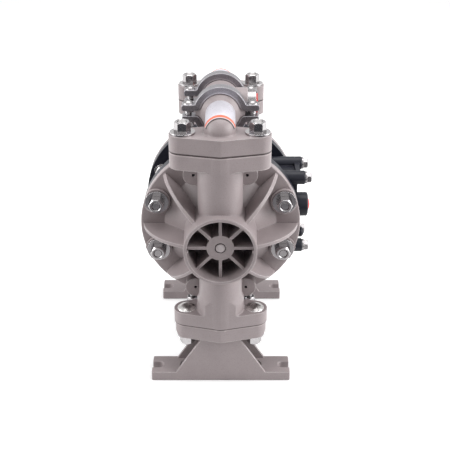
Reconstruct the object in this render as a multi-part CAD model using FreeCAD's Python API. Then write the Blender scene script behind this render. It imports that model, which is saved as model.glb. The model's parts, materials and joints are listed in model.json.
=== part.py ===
import FreeCAD, Part
import math
import os

# Air operated double diaphragm pump on two bolted feet.
# X runs to the air valve side, Y along the diaphragm rod and Z up.
# The origin lies on the floor, midway between the feet.
# Front pieces are drawn on the -Y side and mirrored to make the rear ones.

# Heights, from the floor up
inlet_pipe_z = 44.0
inlet_joint_rise = 20.0
outlet_pipe_rise = 17.6
ring_to_inlet_joint = 12.0
ring_to_outlet_joint = 10.9

# Rims of the fluid caps and air caps
rim_r = 77.0
joint_y = 38.5
fluid_rim_t = 9.0
air_rim_t = 12.0
rim_hole_inset = 11.5
rim_edge = 0.8
rim_pad_r = 12.8
rim_pad_h = 3.0
bolt_clearance = 0.5

# Fluid cap dome, ring and spokes
washer_space = 0.1
dome_depth = 17.5
ring_r = 33.4
ring_draft = 1.0
ring_wall = 2.9
ring_edge = 0.7
ring_front_gap = 7.9
pocket_wall = 2.5
spoke_t = 2.8
spoke_recess = 8.8
hub_r = 12.5
button_r = 4.2
button_rise = 1.6
button_groove_w = 1.0
button_groove_d = 1.2
rib_t = 3.2
rib_foot_inset = 2.4
rib_tip_back = 11.2
rib_bulge = 8.7
blind_boss_r = 9.8
blind_boss_inset = 13.0
blind_boss_depth = 19.5
pinhole_r = 1.5
pinhole_depth = 4.0

# Fluid chamber
chamber_wall = 4.0
chamber_floor_r = 30.5
chamber_rim_depth = 5.5
chamber_cone_depth = 18.0
chamber_crown = 2.0
slot_half_w = 9.0
slot_wall = 2.5
slot_run = 6.0

# Vertical port tubes and their two bolt flanges
port_y = 77.6
port_tube_r = 20.6
port_bore_r = 13.5
port_wall = 2.6
port_collar_step = 2.0
port_collar_rise = 12.0
port_collar_blend = 5.0
cap_top_flange_t = 15.0
cap_bottom_flange_t = 13.6
elbow_flange_t = 15.4
foot_flange_t = 15.1
foot_flange_chamfer = 4.5
foot_flange_trim = 1.0
flange_bolt_x = 33.0
flange_end_r = 12.3
flange_nose_proud = 0.4
flange_nose_r = 5.0
seam_chamfer = 0.8
tube_fillet = 1.6
elbow_fillet = 2.0

# Check valves
ball_r = 12.5
ball_lift = 6.0
cage_r = 15.5
seat_t = 6.0
seat_bore_r = 9.5
seat_fit = 0.1
ball_rest_gap = 0.1
outlet_seat_drop = 30.0
stop_gap = 0.3
stop_rib_t = 2.6
stop_rib_reach = 5.0
stop_rib_h = 7.0
outlet_stop_h = 3.0
ring_seal_r = 1.25
ring_seal_groove = 2.7
seal_land = 0.5

# Manifold pipes, clamp flanges and tees
pipe_r = 14.0
pipe_bore_r = 10.5
clamp_y = 24.0
clamp_half_w = 6.0
clamp_outer_r = 25.0
clamp_lip_r = 18.7
clamp_flange_r = 23.1
clamp_flange_t = 2.4
clamp_neck_r = 18.2
clamp_neck_run = 3.2
clamp_play = 0.3
collar_run = 5.0
swivel_gap = 0.3
swivel_seal_r = 15.6
ear_tip_x = 36.0
ear_t = 5.6
ear_gap = 5.0
ear_bolt_x = 30.0
ear_blend_r = 1.4
ear_mouth_r = 7.0
ear_corner_r = 1.6
tee_body_r = 18.6
tee_boss_r = 16.0
port_collar_x = 25.7
port_ring_t = 8.0
port_ring_r = 14.75
port_ring_wall = 2.3
port_thread_r = 9.3
port_thread_run = 16.0
plug_head_r = 10.5
plug_head_t = 1.8
plug_shank_run = 10.0
plug_fit = 0.1

# Feet
foot_half_l = 69.1
foot_half_d = 13.65
washer_low_gap = 0.5
foot_base_t = 9.5
foot_corner_r = 1.2
foot_slot_w = 9.0
foot_slot_run = 11.0
foot_slot_chamfer = 0.9
foot_window_x = 41.4
foot_window_half_d = 8.3
gusset_t = 3.0
gusset_foot_x = 44.4
gusset_top_x = 18.2

# Centre housing and air caps
housing_half_y = 20.0
housing_r = 50.0
air_cap_slope = 4.0
air_chamber_r = 36.0
air_chamber_rim = 2.5
pad_ear_gap = 0.65
pad_ear_t = 6.5
exhaust_boss_r = 15.0
exhaust_run = 21.0
exhaust_thread_r = 7.6
exhaust_thread_run = 14.0
exhaust_pocket_r = 6.4
exhaust_pocket_run = 16.0

# Diaphragm rod and diaphragms
rod_r = 8.0
running_fit = 0.05
rod_space = 0.4
bushing_wall = 3.0
bushing_l = 12.0
seal_l = 3.0
seal_setback = 1.5
air_plate_r = 30.0
air_plate_t = 4.9
fluid_plate_r = 28.0
fluid_plate_t = 6.6
diaphragm_inset = 7.5
diaphragm_t = 2.6
diaphragm_gap = 0.1
diaphragm_flat_r = 30.0
diaphragm_roll = 4.6
rod_screw_r = 4.0
rod_screw_run = 16.0
rod_screw_head_r = 6.5
rod_screw_head_t = 5.0
stroke = 7.0
plate_end_gap = 0.5

# Pilot rod
pilot_r = 3.0
pilot_rise = 22.0
pilot_end_gap = 3.3
pilot_bushing_wall = 2.5
pilot_bushing_l = 6.0
pilot_waist_r = 2.2
pilot_waist_l = 6.0
pilot_land_l = 6.0

# Air valve
gasket_t = 1.0
valve_side_gap = 0.3
valve_head_gap = 0.5
valve_bore_back = 13.5
valve_bore_front = 14.0
spool_r = 9.0
spool_half_l = 22.0
spool_travel = 8.0
spool_waist_r = 5.5
spool_land_l = 7.0
spool_end_gap = 1.0
end_cap_r = 11.0
end_cap_t = 6.0
end_cap_fit = 0.1
valve_port_half_w = 6.0
valve_port_half_h = 2.5
valve_port_pitch = 13.0
valve_hole_wall = 0.45
valve_boss_r = 6.8
valve_boss_rise = 7.3
valve_boss_edge = 1.0
valve_web_t = 5.0
valve_web_dip = 3.0
inlet_boss_r = 12.25
inlet_boss_rise = 12.7
inlet_thread_r = 6.6
inlet_plug_rise = 2.6
inlet_plug_r = 7.8
inlet_plug_run = 10.0
override_drop = 31.8
override_r = 5.3
override_rise = 8.0
override_dome = 2.9

# Fasteners
m8_r = 4.0
m8_flats = 13.0
m8_nut_h = 9.5
m8_head_t = 5.2
m8_flange_r = 8.2
m8_flange_t = 1.2
m8_tip_setback = 0.7
washer_r = 11.2
washer_t = 1.8
dome_head_r = 9.2
dome_head_t = 3.6
m6_r = 3.0
m6_flats = 10.0
m6_nut_h = 5.8
m6_head_t = 4.5
m6_washer_r = 6.0
m6_washer_t = 1.6
m6_tip_rise = 4.0
m6_button_r = 5.25
m6_button_t = 3.3
thread_fit = 0.05
thread_sink = 0.6
shank_chamfer = 0.6
nut_ring_share = 0.92
nut_ring_slope = 1.0
clamp_nut_turn = 30
screw_end_gap = 1.5

# Heights and depths that follow
inlet_joint_z = inlet_pipe_z + inlet_joint_rise
axis_z = inlet_joint_z + ring_to_inlet_joint + rim_r
outlet_joint_z = axis_z + rim_r + ring_to_outlet_joint
outlet_pipe_z = outlet_joint_z + outlet_pipe_rise
rim_front_y = joint_y + fluid_rim_t
air_face_y = joint_y - air_rim_t
dome_top_y = rim_front_y + dome_depth
ring_front_y = port_y + port_tube_r + ring_front_gap
hub_front_y = ring_front_y - spoke_recess
passage_y = port_y - math.sqrt(port_tube_r ** 2 - slot_half_w ** 2) + slot_wall
pocket_floor_y = passage_y + slot_run + pocket_wall
pad_front_y = rim_front_y + rim_pad_h
bolt_circle_r = rim_r - rim_hole_inset
dome_foot_r = bolt_circle_r - washer_r - washer_space
dome_top_r = ring_r + ring_draft
chamber_r = dome_foot_r - chamber_wall
diaphragm_r = bolt_circle_r - diaphragm_inset
rib_foot_r = rim_r - rib_foot_inset
blind_circle_r = rim_r - blind_boss_inset
port_bore_start = ring_r + port_wall
cap_bottom_z = inlet_joint_z + cap_bottom_flange_t
cap_top_z = outlet_joint_z - cap_top_flange_t
elbow_top_z = outlet_joint_z + elbow_flange_t
foot_under_z = inlet_joint_z - foot_flange_t
flange_half_depth = port_tube_r + flange_nose_proud
flange_seal_r = cage_r + seal_land + ring_seal_groove / 2
outlet_seat_z = outlet_joint_z - outlet_seat_drop
ball_seat_rise = math.sqrt(ball_r ** 2 - seat_bore_r ** 2) + ball_rest_gap
inlet_ball_z = inlet_joint_z + seat_t + ball_seat_rise
outlet_ball_z = outlet_seat_z + seat_t + ball_seat_rise
inlet_stop_z = inlet_ball_z + ball_r + ball_lift + stop_gap
outlet_stop_z = outlet_ball_z + ball_r + ball_lift + stop_gap
rod_half_l = joint_y - air_plate_t - diaphragm_gap
air_floor_y = rod_half_l - stroke - plate_end_gap
pilot_z = axis_z + pilot_rise
pilot_half_l = rod_half_l - pilot_end_gap
first_bolt = 22.5
air_cap_boss_r = housing_r - air_cap_slope
valve_half_w = min(housing_half_y, air_face_y - m8_head_t) - valve_side_gap
valve_boss_y = air_face_y - valve_boss_r - valve_head_gap
rim_bolt_z = bolt_circle_r * math.sin(math.radians(first_bolt))
valve_boss_z = rim_bolt_z + m8_flange_r + valve_head_gap + m6_r + valve_hole_wall
pad_half_h = valve_boss_z + valve_boss_r
pad_ear_low = valve_boss_z - valve_boss_r
pad_ear_back_x = math.sqrt((housing_r + pad_ear_gap) ** 2 - pad_ear_low ** 2)
pad_x = pad_ear_back_x + pad_ear_t
valve_back_x = pad_x + gasket_t
valve_bore_x = valve_back_x + valve_bore_back
valve_face_x = valve_bore_x + valve_bore_front
valve_boss_x = valve_face_x + valve_boss_rise
inlet_boss_x = valve_face_x + inlet_boss_rise
exhaust_face_x = -housing_r - exhaust_run
spool_bore_half = spool_half_l + spool_travel + spool_end_gap
valve_half_h = spool_bore_half + end_cap_t

X = FreeCAD.Vector(1, 0, 0)
Y = FreeCAD.Vector(0, 1, 0)
Z = FreeCAD.Vector(0, 0, 1)
FRONT = FreeCAD.Vector(0, -1, 0)
ORIGIN = FreeCAD.Vector(0, 0, 0)
through_angles = (first_bolt, 180 - first_bolt, 180 + first_bolt, 360 - first_bolt)
blind_angles = (90 - first_bolt, 90 + first_bolt, 270 - first_bolt, 270 + first_bolt)
rib_angles = (0, 45, 135, 180, 225, 315)
over = 1.0
touch = 0.01


# General shapes

def point(x, y, z):
    return FreeCAD.Vector(x, y, z)


def bar(radius, start, end):
    """Round bar between two points."""
    run = end.sub(start)
    return Part.makeCylinder(radius, run.Length, start, run)


def tube(outer, inner, start, end):
    return bar(outer, start, end).cut(bar(inner, start, end))


def block(x_range, y_range, z_range):
    low = point(min(x_range), min(y_range), min(z_range))
    high = point(max(x_range), max(y_range), max(z_range))
    size = high.sub(low)
    return Part.makeBox(size.x, size.y, size.z, low)


def turned(profile, centre, axis, side=X):
    """Solid of revolution from (radius, distance along the axis) corners."""
    corners = [centre + side * radius + axis * run for radius, run in profile]
    return Part.Face(Part.makePolygon(corners + corners[:1])).revolve(centre, axis, 360)


def around_pump(profile):
    """Solid turned about the pump axis, with depths measured towards the front."""
    return turned(profile, point(0, 0, axis_z), FRONT)


def joined(shapes):
    return shapes[0].multiFuse(shapes[1:]).removeSplitter()


def mirrored(shape):
    """The rear copy of a front piece."""
    return shape.mirror(ORIGIN, Y)


def both_ends(shapes):
    return list(shapes) + [mirrored(shape) for shape in shapes]


def aimed(shape, base, direction):
    """Move a shape drawn at the origin along +Z to a base and a direction."""
    moved = shape.copy()
    moved.Placement = FreeCAD.Placement(base, FreeCAD.Rotation(Z, direction))
    return moved


def dome(radius, height, base, direction):
    """Shallow spherical cap on a round base."""
    sphere_r = (radius ** 2 + height ** 2) / (2 * height)
    low = math.degrees(math.asin((sphere_r - height) / sphere_r))
    centre = base - direction * (sphere_r - height)
    return Part.makeSphere(sphere_r, centre, direction, low, 90, 360)


def on_circle(radius, degrees, depth):
    """Point on a circle about the pump axis, on the front side."""
    angle = math.radians(degrees)
    return point(radius * math.cos(angle), -depth, axis_z + radius * math.sin(angle))


def save(name, shape):
    shape.exportStep("parts/" + name + ".step")


# Fasteners

def hex_body(flats, height, turn=0):
    """Hexagon with its top corners chamfered to a round face."""
    corner = flats / math.sqrt(3)
    corners = []
    for step in range(7):
        angle = math.radians(60 * step + turn)
        corners.append(point(corner * math.cos(angle), corner * math.sin(angle), 0))
    prism = Part.Face(Part.makePolygon(corners)).extrude(Z * height)
    face_r = flats / 2 * nut_ring_share
    slope = (corner - face_r) * nut_ring_slope
    crown = turned([(0, 0), (corner, 0), (corner, height - slope), (face_r, height), (0, height)], ORIGIN, Z)
    return prism.common(crown)


def nut(flats, height, thread_r, base, direction, turn=0):
    """Hexagon nut with its bore countersunk at both faces."""
    hole = thread_r + thread_fit
    wide = hole + thread_sink
    bore = turned([(0, 0), (wide, 0), (hole, thread_sink), (hole, height - thread_sink), (wide, height),
                   (0, height)], ORIGIN, Z)
    return aimed(hex_body(flats, height, turn).cut(bore), base, direction)


def screw_shank(radius, length):
    """Shank from the origin down, with a chamfered tip."""
    return turned([(0, 0), (radius, 0), (radius, shank_chamfer - length), (radius - shank_chamfer, -length),
                   (0, -length)], ORIGIN, Z)


def washer(radius, base, direction):
    return tube(radius, m8_r + bolt_clearance, base, base + direction * washer_t)


def flanged_screw(length, base, direction):
    """Hexagon head with a flange, its seat at the base and its shank along the direction."""
    head = hex_body(m8_flats, m8_head_t)
    flange = bar(m8_flange_r, ORIGIN, Z * m8_flange_t)
    return aimed(joined([head, flange, screw_shank(m8_r, length)]), base, direction * -1)


def domed_bolt(length, base, direction):
    """Bolt with a low domed head, its seat at the base and its shank along the direction."""
    head = dome(dome_head_r, dome_head_t, ORIGIN, Z)
    return aimed(joined([head, screw_shank(m8_r, length)]), base, direction * -1)


def button_screw(length, base, direction):
    head = dome(m6_button_r, m6_button_t, ORIGIN, Z)
    return aimed(joined([head, screw_shank(m6_r, length)]), base, direction * -1)


def washer_screw(length, base, direction):
    """Hexagon screw with a captive washer, its seat at the base and its shank along the direction."""
    head = hex_body(m6_flats, m6_head_t)
    head.translate(Z * m6_washer_t)
    ring = bar(m6_washer_r, ORIGIN, Z * m6_washer_t)
    return aimed(joined([head, ring, screw_shank(m6_r, length)]), base, direction * -1)


# Two bolt flange

def tangent_point(half_depth, end_r):
    """Where the flange's straight side meets its round end, in the first quarter."""
    reach = math.hypot(flange_bolt_x, half_depth)
    angle = math.atan2(half_depth, -flange_bolt_x) - math.acos(end_r / reach)
    return (flange_bolt_x + end_r * math.cos(angle), end_r * math.sin(angle))


def flange_plate(z_low, z_high, trim=0.0):
    """Lozenge flange round the front port, with its two noses rounded."""
    depth = flange_half_depth - trim
    end_r = flange_end_r - trim
    tx, ty = tangent_point(depth, end_r)
    tip = flange_bolt_x + end_r

    def spot(x, y):
        return point(x, y - port_y, z_low)

    edges = [
        Part.Arc(spot(tx, ty), spot(tip, 0), spot(tx, -ty)).toShape(),
        Part.makeLine(spot(tx, -ty), spot(0, -depth)),
        Part.makeLine(spot(0, -depth), spot(-tx, -ty)),
        Part.Arc(spot(-tx, -ty), spot(-tip, 0), spot(-tx, ty)).toShape(),
        Part.makeLine(spot(-tx, ty), spot(0, depth)),
        Part.makeLine(spot(0, depth), spot(tx, ty)),
    ]
    plate = Part.Face(Part.Wire(edges)).extrude(Z * (z_high - z_low))
    noses = [edge for edge in plate.Edges if is_nose(edge)]
    return plate.makeFillet(flange_nose_r, noses)


def is_nose(edge):
    ends = [vertex.Point for vertex in edge.Vertexes]
    return len(ends) == 2 and all(abs(end.x) < touch for end in ends) and edge.Length > over


def seam_edge(plate, z):
    """The same flange with a small chamfer round one of its two faces."""
    border = [edge for edge in plate.Edges if all(abs(vertex.Z - z) < touch for vertex in edge.Vertexes)]
    return plate.makeChamfer(seam_chamfer, border)


def tube_foot(z_foot, rise, tube_r, fillet):
    """Fillet between a tube and its flange, cut off at the flange's outline."""
    foot = point(0, -port_y, z_foot)
    top = foot + Z * rise * fillet
    ring = bar(tube_r + fillet, foot, top).cut(Part.makeTorus(tube_r + fillet, fillet, top, Z))
    return ring.common(flange_plate(*sorted((foot.z, top.z))))


def port_collar():
    """Wider foot of a port tube on the inlet flange, cut off at the flange's outline."""
    foot = point(0, -port_y, cap_bottom_z)
    wide = port_tube_r + port_collar_step
    top = port_collar_rise + port_collar_blend
    collar = turned([(0, 0), (wide, 0), (wide, port_collar_rise), (port_tube_r, top), (0, top)], foot, Z)
    return collar.common(flange_plate(foot.z, foot.z + top))


def flange_holes(z_low, z_high):
    holes = []
    for x in (-flange_bolt_x, flange_bolt_x):
        holes.append(bar(m8_r + bolt_clearance, point(x, -port_y, z_low), point(x, -port_y, z_high)))
    return holes


# Fluid caps

def cap_rib(degrees):
    """Thin rib from the rim up to the ring, with a bowed outer edge."""
    foot_y = rim_front_y
    tip_r = ring_r - ring_edge
    tip_y = ring_front_y - rib_tip_back
    run = math.hypot(rib_foot_r - tip_r, tip_y - foot_y)
    out_r = (tip_y - foot_y) / run * rib_bulge
    out_y = (rib_foot_r - tip_r) / run * rib_bulge
    low_y = foot_y - fluid_rim_t / 2

    def spot(radius, depth):
        return point(radius, -depth, axis_z - rib_t / 2)

    middle = spot((rib_foot_r + tip_r) / 2 + out_r, (foot_y + tip_y) / 2 + out_y)
    edges = [
        Part.Arc(spot(rib_foot_r, foot_y), middle, spot(tip_r, tip_y)).toShape(),
        Part.makeLine(spot(tip_r, tip_y), spot(tip_r, low_y)),
        Part.makeLine(spot(tip_r, low_y), spot(rib_foot_r, low_y)),
        Part.makeLine(spot(rib_foot_r, low_y), spot(rib_foot_r, foot_y)),
    ]
    rib = Part.Face(Part.Wire(edges)).extrude(Z * rib_t)
    rib.rotate(point(0, 0, axis_z), FRONT, degrees)
    return rib


def cap_pocket():
    """Space inside the ring, round the hub and the eight spokes."""
    centre = point(0, 0, axis_z)
    floor = centre + FRONT * pocket_floor_y
    front = centre + FRONT * hub_front_y
    mouth = centre + FRONT * (ring_front_y + over)
    inner_r = ring_r - ring_wall
    space = bar(inner_r, floor, mouth)
    web = [bar(hub_r, floor, front)]
    for degrees in (0, 45, 90, 135):
        spoke = block((-inner_r - over, inner_r + over), (floor.y, front.y),
                      (axis_z - spoke_t / 2, axis_z + spoke_t / 2))
        spoke.rotate(centre, FRONT, degrees)
        web.append(spoke)
    return space.cut(joined(web))


def stop_ribs(z_low, height, wall_r, side):
    """Three short ribs that hold a check ball back from its passage."""
    ribs = []
    centre = point(0, -port_y, z_low)
    for degrees in (90, 210, 330):
        rib = block((wall_r - side, wall_r + over), (-port_y - stop_rib_t / 2, -port_y + stop_rib_t / 2),
                    (z_low, z_low + height))
        rib.rotate(centre, Z, degrees)
        ribs.append(rib)
    return ribs


def fluid_cap():
    """Domed fluid cap with its spoked ring, vertical port tubes and flanges."""
    shell = around_pump([
        (0, joint_y), (rim_r, joint_y), (rim_r, rim_front_y - rim_edge), (rim_r - rim_edge, rim_front_y),
        (dome_foot_r, rim_front_y),
        (dome_top_r, dome_top_y), (ring_r, ring_front_y - ring_edge),
        (ring_r - ring_edge, ring_front_y), (0, ring_front_y)])
    solids = [shell]
    solids.append(bar(port_tube_r, point(0, -port_y, inlet_joint_z), point(0, -port_y, outlet_joint_z)))
    solids.append(flange_plate(inlet_joint_z, cap_bottom_z))
    solids.append(seam_edge(flange_plate(cap_top_z, outlet_joint_z), outlet_joint_z))
    solids.append(port_collar())
    solids.append(tube_foot(cap_bottom_z, 1, port_tube_r + port_collar_step, tube_fillet))
    solids.append(tube_foot(cap_top_z, -1, port_tube_r, tube_fillet))
    solids.append(rim_pads())
    for degrees in rib_angles:
        solids.append(cap_rib(degrees))
    for degrees in blind_angles:
        solids.append(bar(blind_boss_r, on_circle(blind_circle_r, degrees, rim_front_y - over),
                          on_circle(blind_circle_r, degrees, rim_front_y + blind_boss_depth)))
    body = joined(solids)
    return body.cut(joined(fluid_cap_hollows())).fuse(cap_trim()).removeSplitter()


def rim_pads():
    """Raised pads under the washers of the through bolts, trimmed to the rim."""
    pads = []
    for degrees in through_angles:
        pads.append(bar(rim_pad_r, on_circle(bolt_circle_r, degrees, rim_front_y - rim_edge - over),
                        on_circle(bolt_circle_r, degrees, pad_front_y)))
    rim = bar(rim_r, point(0, -joint_y, axis_z), point(0, -pad_front_y, axis_z))
    return joined(pads).common(rim)


def fluid_cap_hollows():
    """Everything that is cut from a fluid cap: chamber, passages, pocket and holes."""
    cone_y = joint_y + chamber_rim_depth + chamber_cone_depth
    chamber = around_pump([
        (0, joint_y - over), (chamber_r, joint_y - over), (chamber_r, joint_y + chamber_rim_depth),
        (chamber_floor_r, cone_y), (0, cone_y + chamber_crown)])
    seat = bar(diaphragm_r + diaphragm_gap, point(0, -joint_y + over, axis_z),
               point(0, -joint_y - diaphragm_t - 2 * diaphragm_gap, axis_z))
    slot_z = port_bore_start + slot_run
    slot = block((-slot_half_w, slot_half_w), (-passage_y, -passage_y - slot_run),
                 (axis_z - slot_z, axis_z + slot_z))
    low_bore = bar(port_bore_r, point(0, -port_y, inlet_stop_z), point(0, -port_y, axis_z - port_bore_start))
    low_bore = low_bore.cut(joined(stop_ribs(inlet_stop_z, stop_rib_h, port_bore_r, stop_rib_reach)))
    low_cage = bar(cage_r, point(0, -port_y, inlet_joint_z - over), point(0, -port_y, inlet_stop_z))
    high_bore = bar(port_bore_r, point(0, -port_y, axis_z + port_bore_start),
                    point(0, -port_y, outlet_seat_z))
    high_cage = bar(cage_r, point(0, -port_y, outlet_seat_z), point(0, -port_y, outlet_joint_z + over))
    hollows = [chamber, seat, slot, low_bore, low_cage, high_bore, high_cage, cap_pocket()]
    hollows += flange_holes(inlet_joint_z - over, cap_bottom_z + over)
    hollows += flange_holes(cap_top_z - over, outlet_joint_z + over)
    for degrees in through_angles:
        hollows.append(bar(m8_r + bolt_clearance, on_circle(bolt_circle_r, degrees, joint_y - over),
                           on_circle(bolt_circle_r, degrees, pad_front_y + over)))
    boss_front = rim_front_y + blind_boss_depth
    for degrees in blind_angles:
        hollows.append(bar(m8_r + thread_fit, on_circle(bolt_circle_r, degrees, joint_y - over),
                           on_circle(bolt_circle_r, degrees, rim_front_y + blind_boss_depth / 2)))
        hollows.append(bar(pinhole_r, on_circle(blind_circle_r, degrees, boss_front - pinhole_depth),
                           on_circle(blind_circle_r, degrees, boss_front + over)))
    groove_from = point(0, -hub_front_y + button_groove_d, axis_z)
    groove_to = point(0, -hub_front_y - over, axis_z)
    hollows.append(tube(button_r + button_groove_w, button_r, groove_from, groove_to))
    return hollows


def cap_trim():
    """Raised button in the middle of the hub."""
    return dome(button_r, button_rise, point(0, -hub_front_y, axis_z), FRONT)


# Centre section

def air_cap():
    """Plate behind a diaphragm, with the air chamber in its outer face."""
    bore = rod_r + rod_space
    body = around_pump([
        (bore, housing_half_y), (air_cap_boss_r, housing_half_y),
        (air_cap_boss_r + air_cap_slope, air_face_y), (rim_r, air_face_y), (rim_r, joint_y),
        (chamber_r, joint_y), (chamber_r, joint_y - air_chamber_rim),
        (air_chamber_r, air_floor_y), (bore, air_floor_y)])
    holes = []
    for degrees in through_angles + blind_angles:
        holes.append(bar(m8_r + bolt_clearance, on_circle(bolt_circle_r, degrees, air_face_y - over),
                         on_circle(bolt_circle_r, degrees, joint_y + over)))
    seal_y = housing_half_y + seal_setback
    holes.append(bar(rod_r + bushing_wall, point(0, -seal_y, axis_z), point(0, -seal_y - seal_l, axis_z)))
    holes.append(bar(pilot_r + rod_space, point(0, -housing_half_y + over, pilot_z),
                     point(0, -air_floor_y - over, pilot_z)))
    return body.cut(joined(holes))


def centre_housing():
    """Middle body with the rod and pilot bores, the valve pad and the exhaust boss."""
    depth = (-housing_half_y, housing_half_y)
    body = bar(housing_r, point(0, -housing_half_y, axis_z), point(0, housing_half_y, axis_z))
    pad = block((0, pad_x), (-valve_half_w, valve_half_w), (axis_z - pad_half_h, axis_z + pad_half_h))
    trim = block((pad_x, housing_r + over), depth, (axis_z - housing_r, axis_z + housing_r))
    exhaust = bar(exhaust_boss_r, point(0, 0, axis_z), point(exhaust_face_x, 0, axis_z))
    body = joined([body, pad, exhaust]).cut(trim)
    body = joined([body] + pad_ears(pad_ear_back_x, pad_x))
    rod_bore = joined([
        bar(rod_r + rod_space, point(0, -housing_half_y - over, axis_z),
            point(0, housing_half_y + over, axis_z)),
        bar(rod_r + bushing_wall, point(0, -housing_half_y - over, axis_z),
            point(0, -housing_half_y + bushing_l, axis_z)),
        bar(rod_r + bushing_wall, point(0, housing_half_y - bushing_l, axis_z),
            point(0, housing_half_y + over, axis_z))])
    pilot_bore = joined([
        bar(pilot_r + rod_space, point(0, -housing_half_y - over, pilot_z),
            point(0, housing_half_y + over, pilot_z)),
        bar(pilot_r + pilot_bushing_wall, point(0, -housing_half_y - over, pilot_z),
            point(0, -housing_half_y + pilot_bushing_l, pilot_z)),
        bar(pilot_r + pilot_bushing_wall, point(0, housing_half_y - pilot_bushing_l, pilot_z),
            point(0, housing_half_y + over, pilot_z))])
    thread_end = exhaust_face_x + exhaust_thread_run
    exhaust_bore = joined([
        bar(exhaust_thread_r, point(exhaust_face_x - over, 0, axis_z), point(thread_end, 0, axis_z)),
        bar(exhaust_pocket_r, point(thread_end, 0, axis_z),
            point(thread_end + exhaust_pocket_run, 0, axis_z))])
    holes = [rod_bore, pilot_bore, exhaust_bore] + valve_bolt_holes(pad_ear_back_x, pad_x + over)
    return body.cut(joined(holes))


def valve_bolt_holes(x_low, x_high):
    holes = []
    for y in (-valve_boss_y, valve_boss_y):
        for z in (axis_z - valve_boss_z, axis_z + valve_boss_z):
            holes.append(bar(m6_r + thread_fit, point(x_low, y, z), point(x_high, y, z)))
    return holes


def pad_ears(x_low, x_high):
    """The wider ends of the valve pad, behind the corner bosses."""
    ears = []
    half_w = valve_boss_y + valve_boss_r
    for side in (-1, 1):
        z_range = (axis_z + side * pad_ear_low, axis_z + side * pad_half_h)
        ears.append(block((x_low, x_high), (-half_w, half_w), z_range))
    return ears


def valve_gasket():
    plate = block((pad_x, valve_back_x), (-valve_half_w, valve_half_w),
                  (axis_z - pad_half_h, axis_z + pad_half_h))
    plate = joined([plate] + pad_ears(pad_x, valve_back_x))
    return plate.cut(joined(valve_bolt_holes(pad_x - over, valve_back_x + over) + valve_ports(pad_x - over)))


def valve_ports(x_low):
    """Three air slots between the spool bore and the housing."""
    slots = []
    for step in (-1, 0, 1):
        z = axis_z + step * valve_port_pitch
        slots.append(block((x_low, valve_bore_x), (-valve_port_half_w, valve_port_half_w),
                           (z - valve_port_half_h, z + valve_port_half_h)))
    return slots


def round_boss(radius, x_low, x_high, y, z):
    """Round boss along +X with a chamfered end."""
    run = x_high - x_low
    end_r = radius - valve_boss_edge
    profile = [(0, 0), (radius, 0), (radius, run - valve_boss_edge), (end_r, run), (0, run)]
    return turned(profile, point(x_low, y, z), X, Z)


def corner_bosses():
    """Four bosses for the valve bolts, and a dished web between each pair."""
    shapes = []
    y = valve_boss_y
    for level in (-1, 1):
        z = axis_z + level * valve_boss_z
        for side in (-1, 1):
            shapes.append(round_boss(valve_boss_r, valve_back_x, valve_boss_x, side * y, z))
        web_x = valve_boss_x - valve_boss_edge
        web = block((valve_face_x - over, web_x), (-y, y), (z - valve_web_t / 2, z + valve_web_t / 2))
        dip_r = (y ** 2 + valve_web_dip ** 2) / (2 * valve_web_dip)
        dip_x = web_x - valve_web_dip + dip_r
        shapes.append(web.cut(bar(dip_r, point(dip_x, 0, z - valve_web_t), point(dip_x, 0, z + valve_web_t))))
    return shapes


def bolt_head_pockets():
    """Room for the heads of the rim bolts beside the corner bosses."""
    pockets = []
    radius = m8_flange_r + valve_head_gap
    for degrees in (first_bolt, 360 - first_bolt):
        pockets.append(bar(radius, on_circle(bolt_circle_r, degrees, air_face_y - m8_head_t - valve_head_gap),
                           on_circle(bolt_circle_r, degrees, air_face_y + over)))
    return both_ends(pockets)


def valve_block():
    """Air valve body with four corner bosses, the air inlet boss and an override button."""
    override_z = axis_z - override_drop
    override_x = valve_face_x + override_rise
    body = [
        block((valve_back_x, valve_face_x), (-valve_half_w, valve_half_w),
              (axis_z - valve_half_h, axis_z + valve_half_h)),
        round_boss(inlet_boss_r, valve_bore_x, inlet_boss_x, 0, axis_z),
        bar(override_r, point(valve_face_x - over, 0, override_z), point(override_x, 0, override_z)),
        dome(override_r, override_dome, point(override_x, 0, override_z), X)]
    body += corner_bosses()
    holes = [
        bar(spool_r + running_fit, point(valve_bore_x, 0, axis_z - spool_bore_half),
            point(valve_bore_x, 0, axis_z + spool_bore_half)),
        bar(inlet_thread_r, point(valve_bore_x, 0, axis_z), point(inlet_boss_x + over, 0, axis_z))]
    for level in (-1, 1):
        holes.append(bar(end_cap_r, point(valve_bore_x, 0, axis_z + level * spool_bore_half),
                         point(valve_bore_x, 0, axis_z + level * (valve_half_h + over))))
    holes += valve_ports(valve_back_x - over)
    holes += valve_bolt_holes(valve_back_x - over, valve_boss_x + over)
    holes += bolt_head_pockets()
    return joined(body).cut(joined(holes))


def valve_bolts():
    bolts = []
    length = valve_boss_x - pad_ear_back_x
    for side in (-1, 1):
        for level in (-1, 1):
            base = point(valve_boss_x, side * valve_boss_y, axis_z + level * valve_boss_z)
            bolts.append(washer_screw(length, base, X * -1))
    return bolts


def valve_end_cap(level):
    """Disc that closes one end of the spool bore."""
    start = point(valve_bore_x, 0, axis_z + level * spool_bore_half)
    return bar(end_cap_r - end_cap_fit, start, start + Z * level * end_cap_t)


def spool():
    """Valve spool with three lands."""
    waist_from = spool_land_l / 2
    waist_to = spool_half_l - spool_land_l
    half = [(spool_r, waist_from), (spool_waist_r, waist_from), (spool_waist_r, waist_to),
            (spool_r, waist_to), (spool_r, spool_half_l)]
    other = [(radius, -run) for radius, run in reversed(half)]
    profile = [(0, -spool_half_l)] + other + half + [(0, spool_half_l)]
    return turned(profile, point(valve_bore_x, 0, axis_z), Z)


def air_inlet_plug():
    """Domed plug in the air inlet."""
    face = point(inlet_boss_x, 0, axis_z)
    shank = bar(inlet_thread_r - plug_fit, face - X * inlet_plug_run, face)
    return joined([dome(inlet_plug_r, inlet_plug_rise, face, X), shank])


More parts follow.
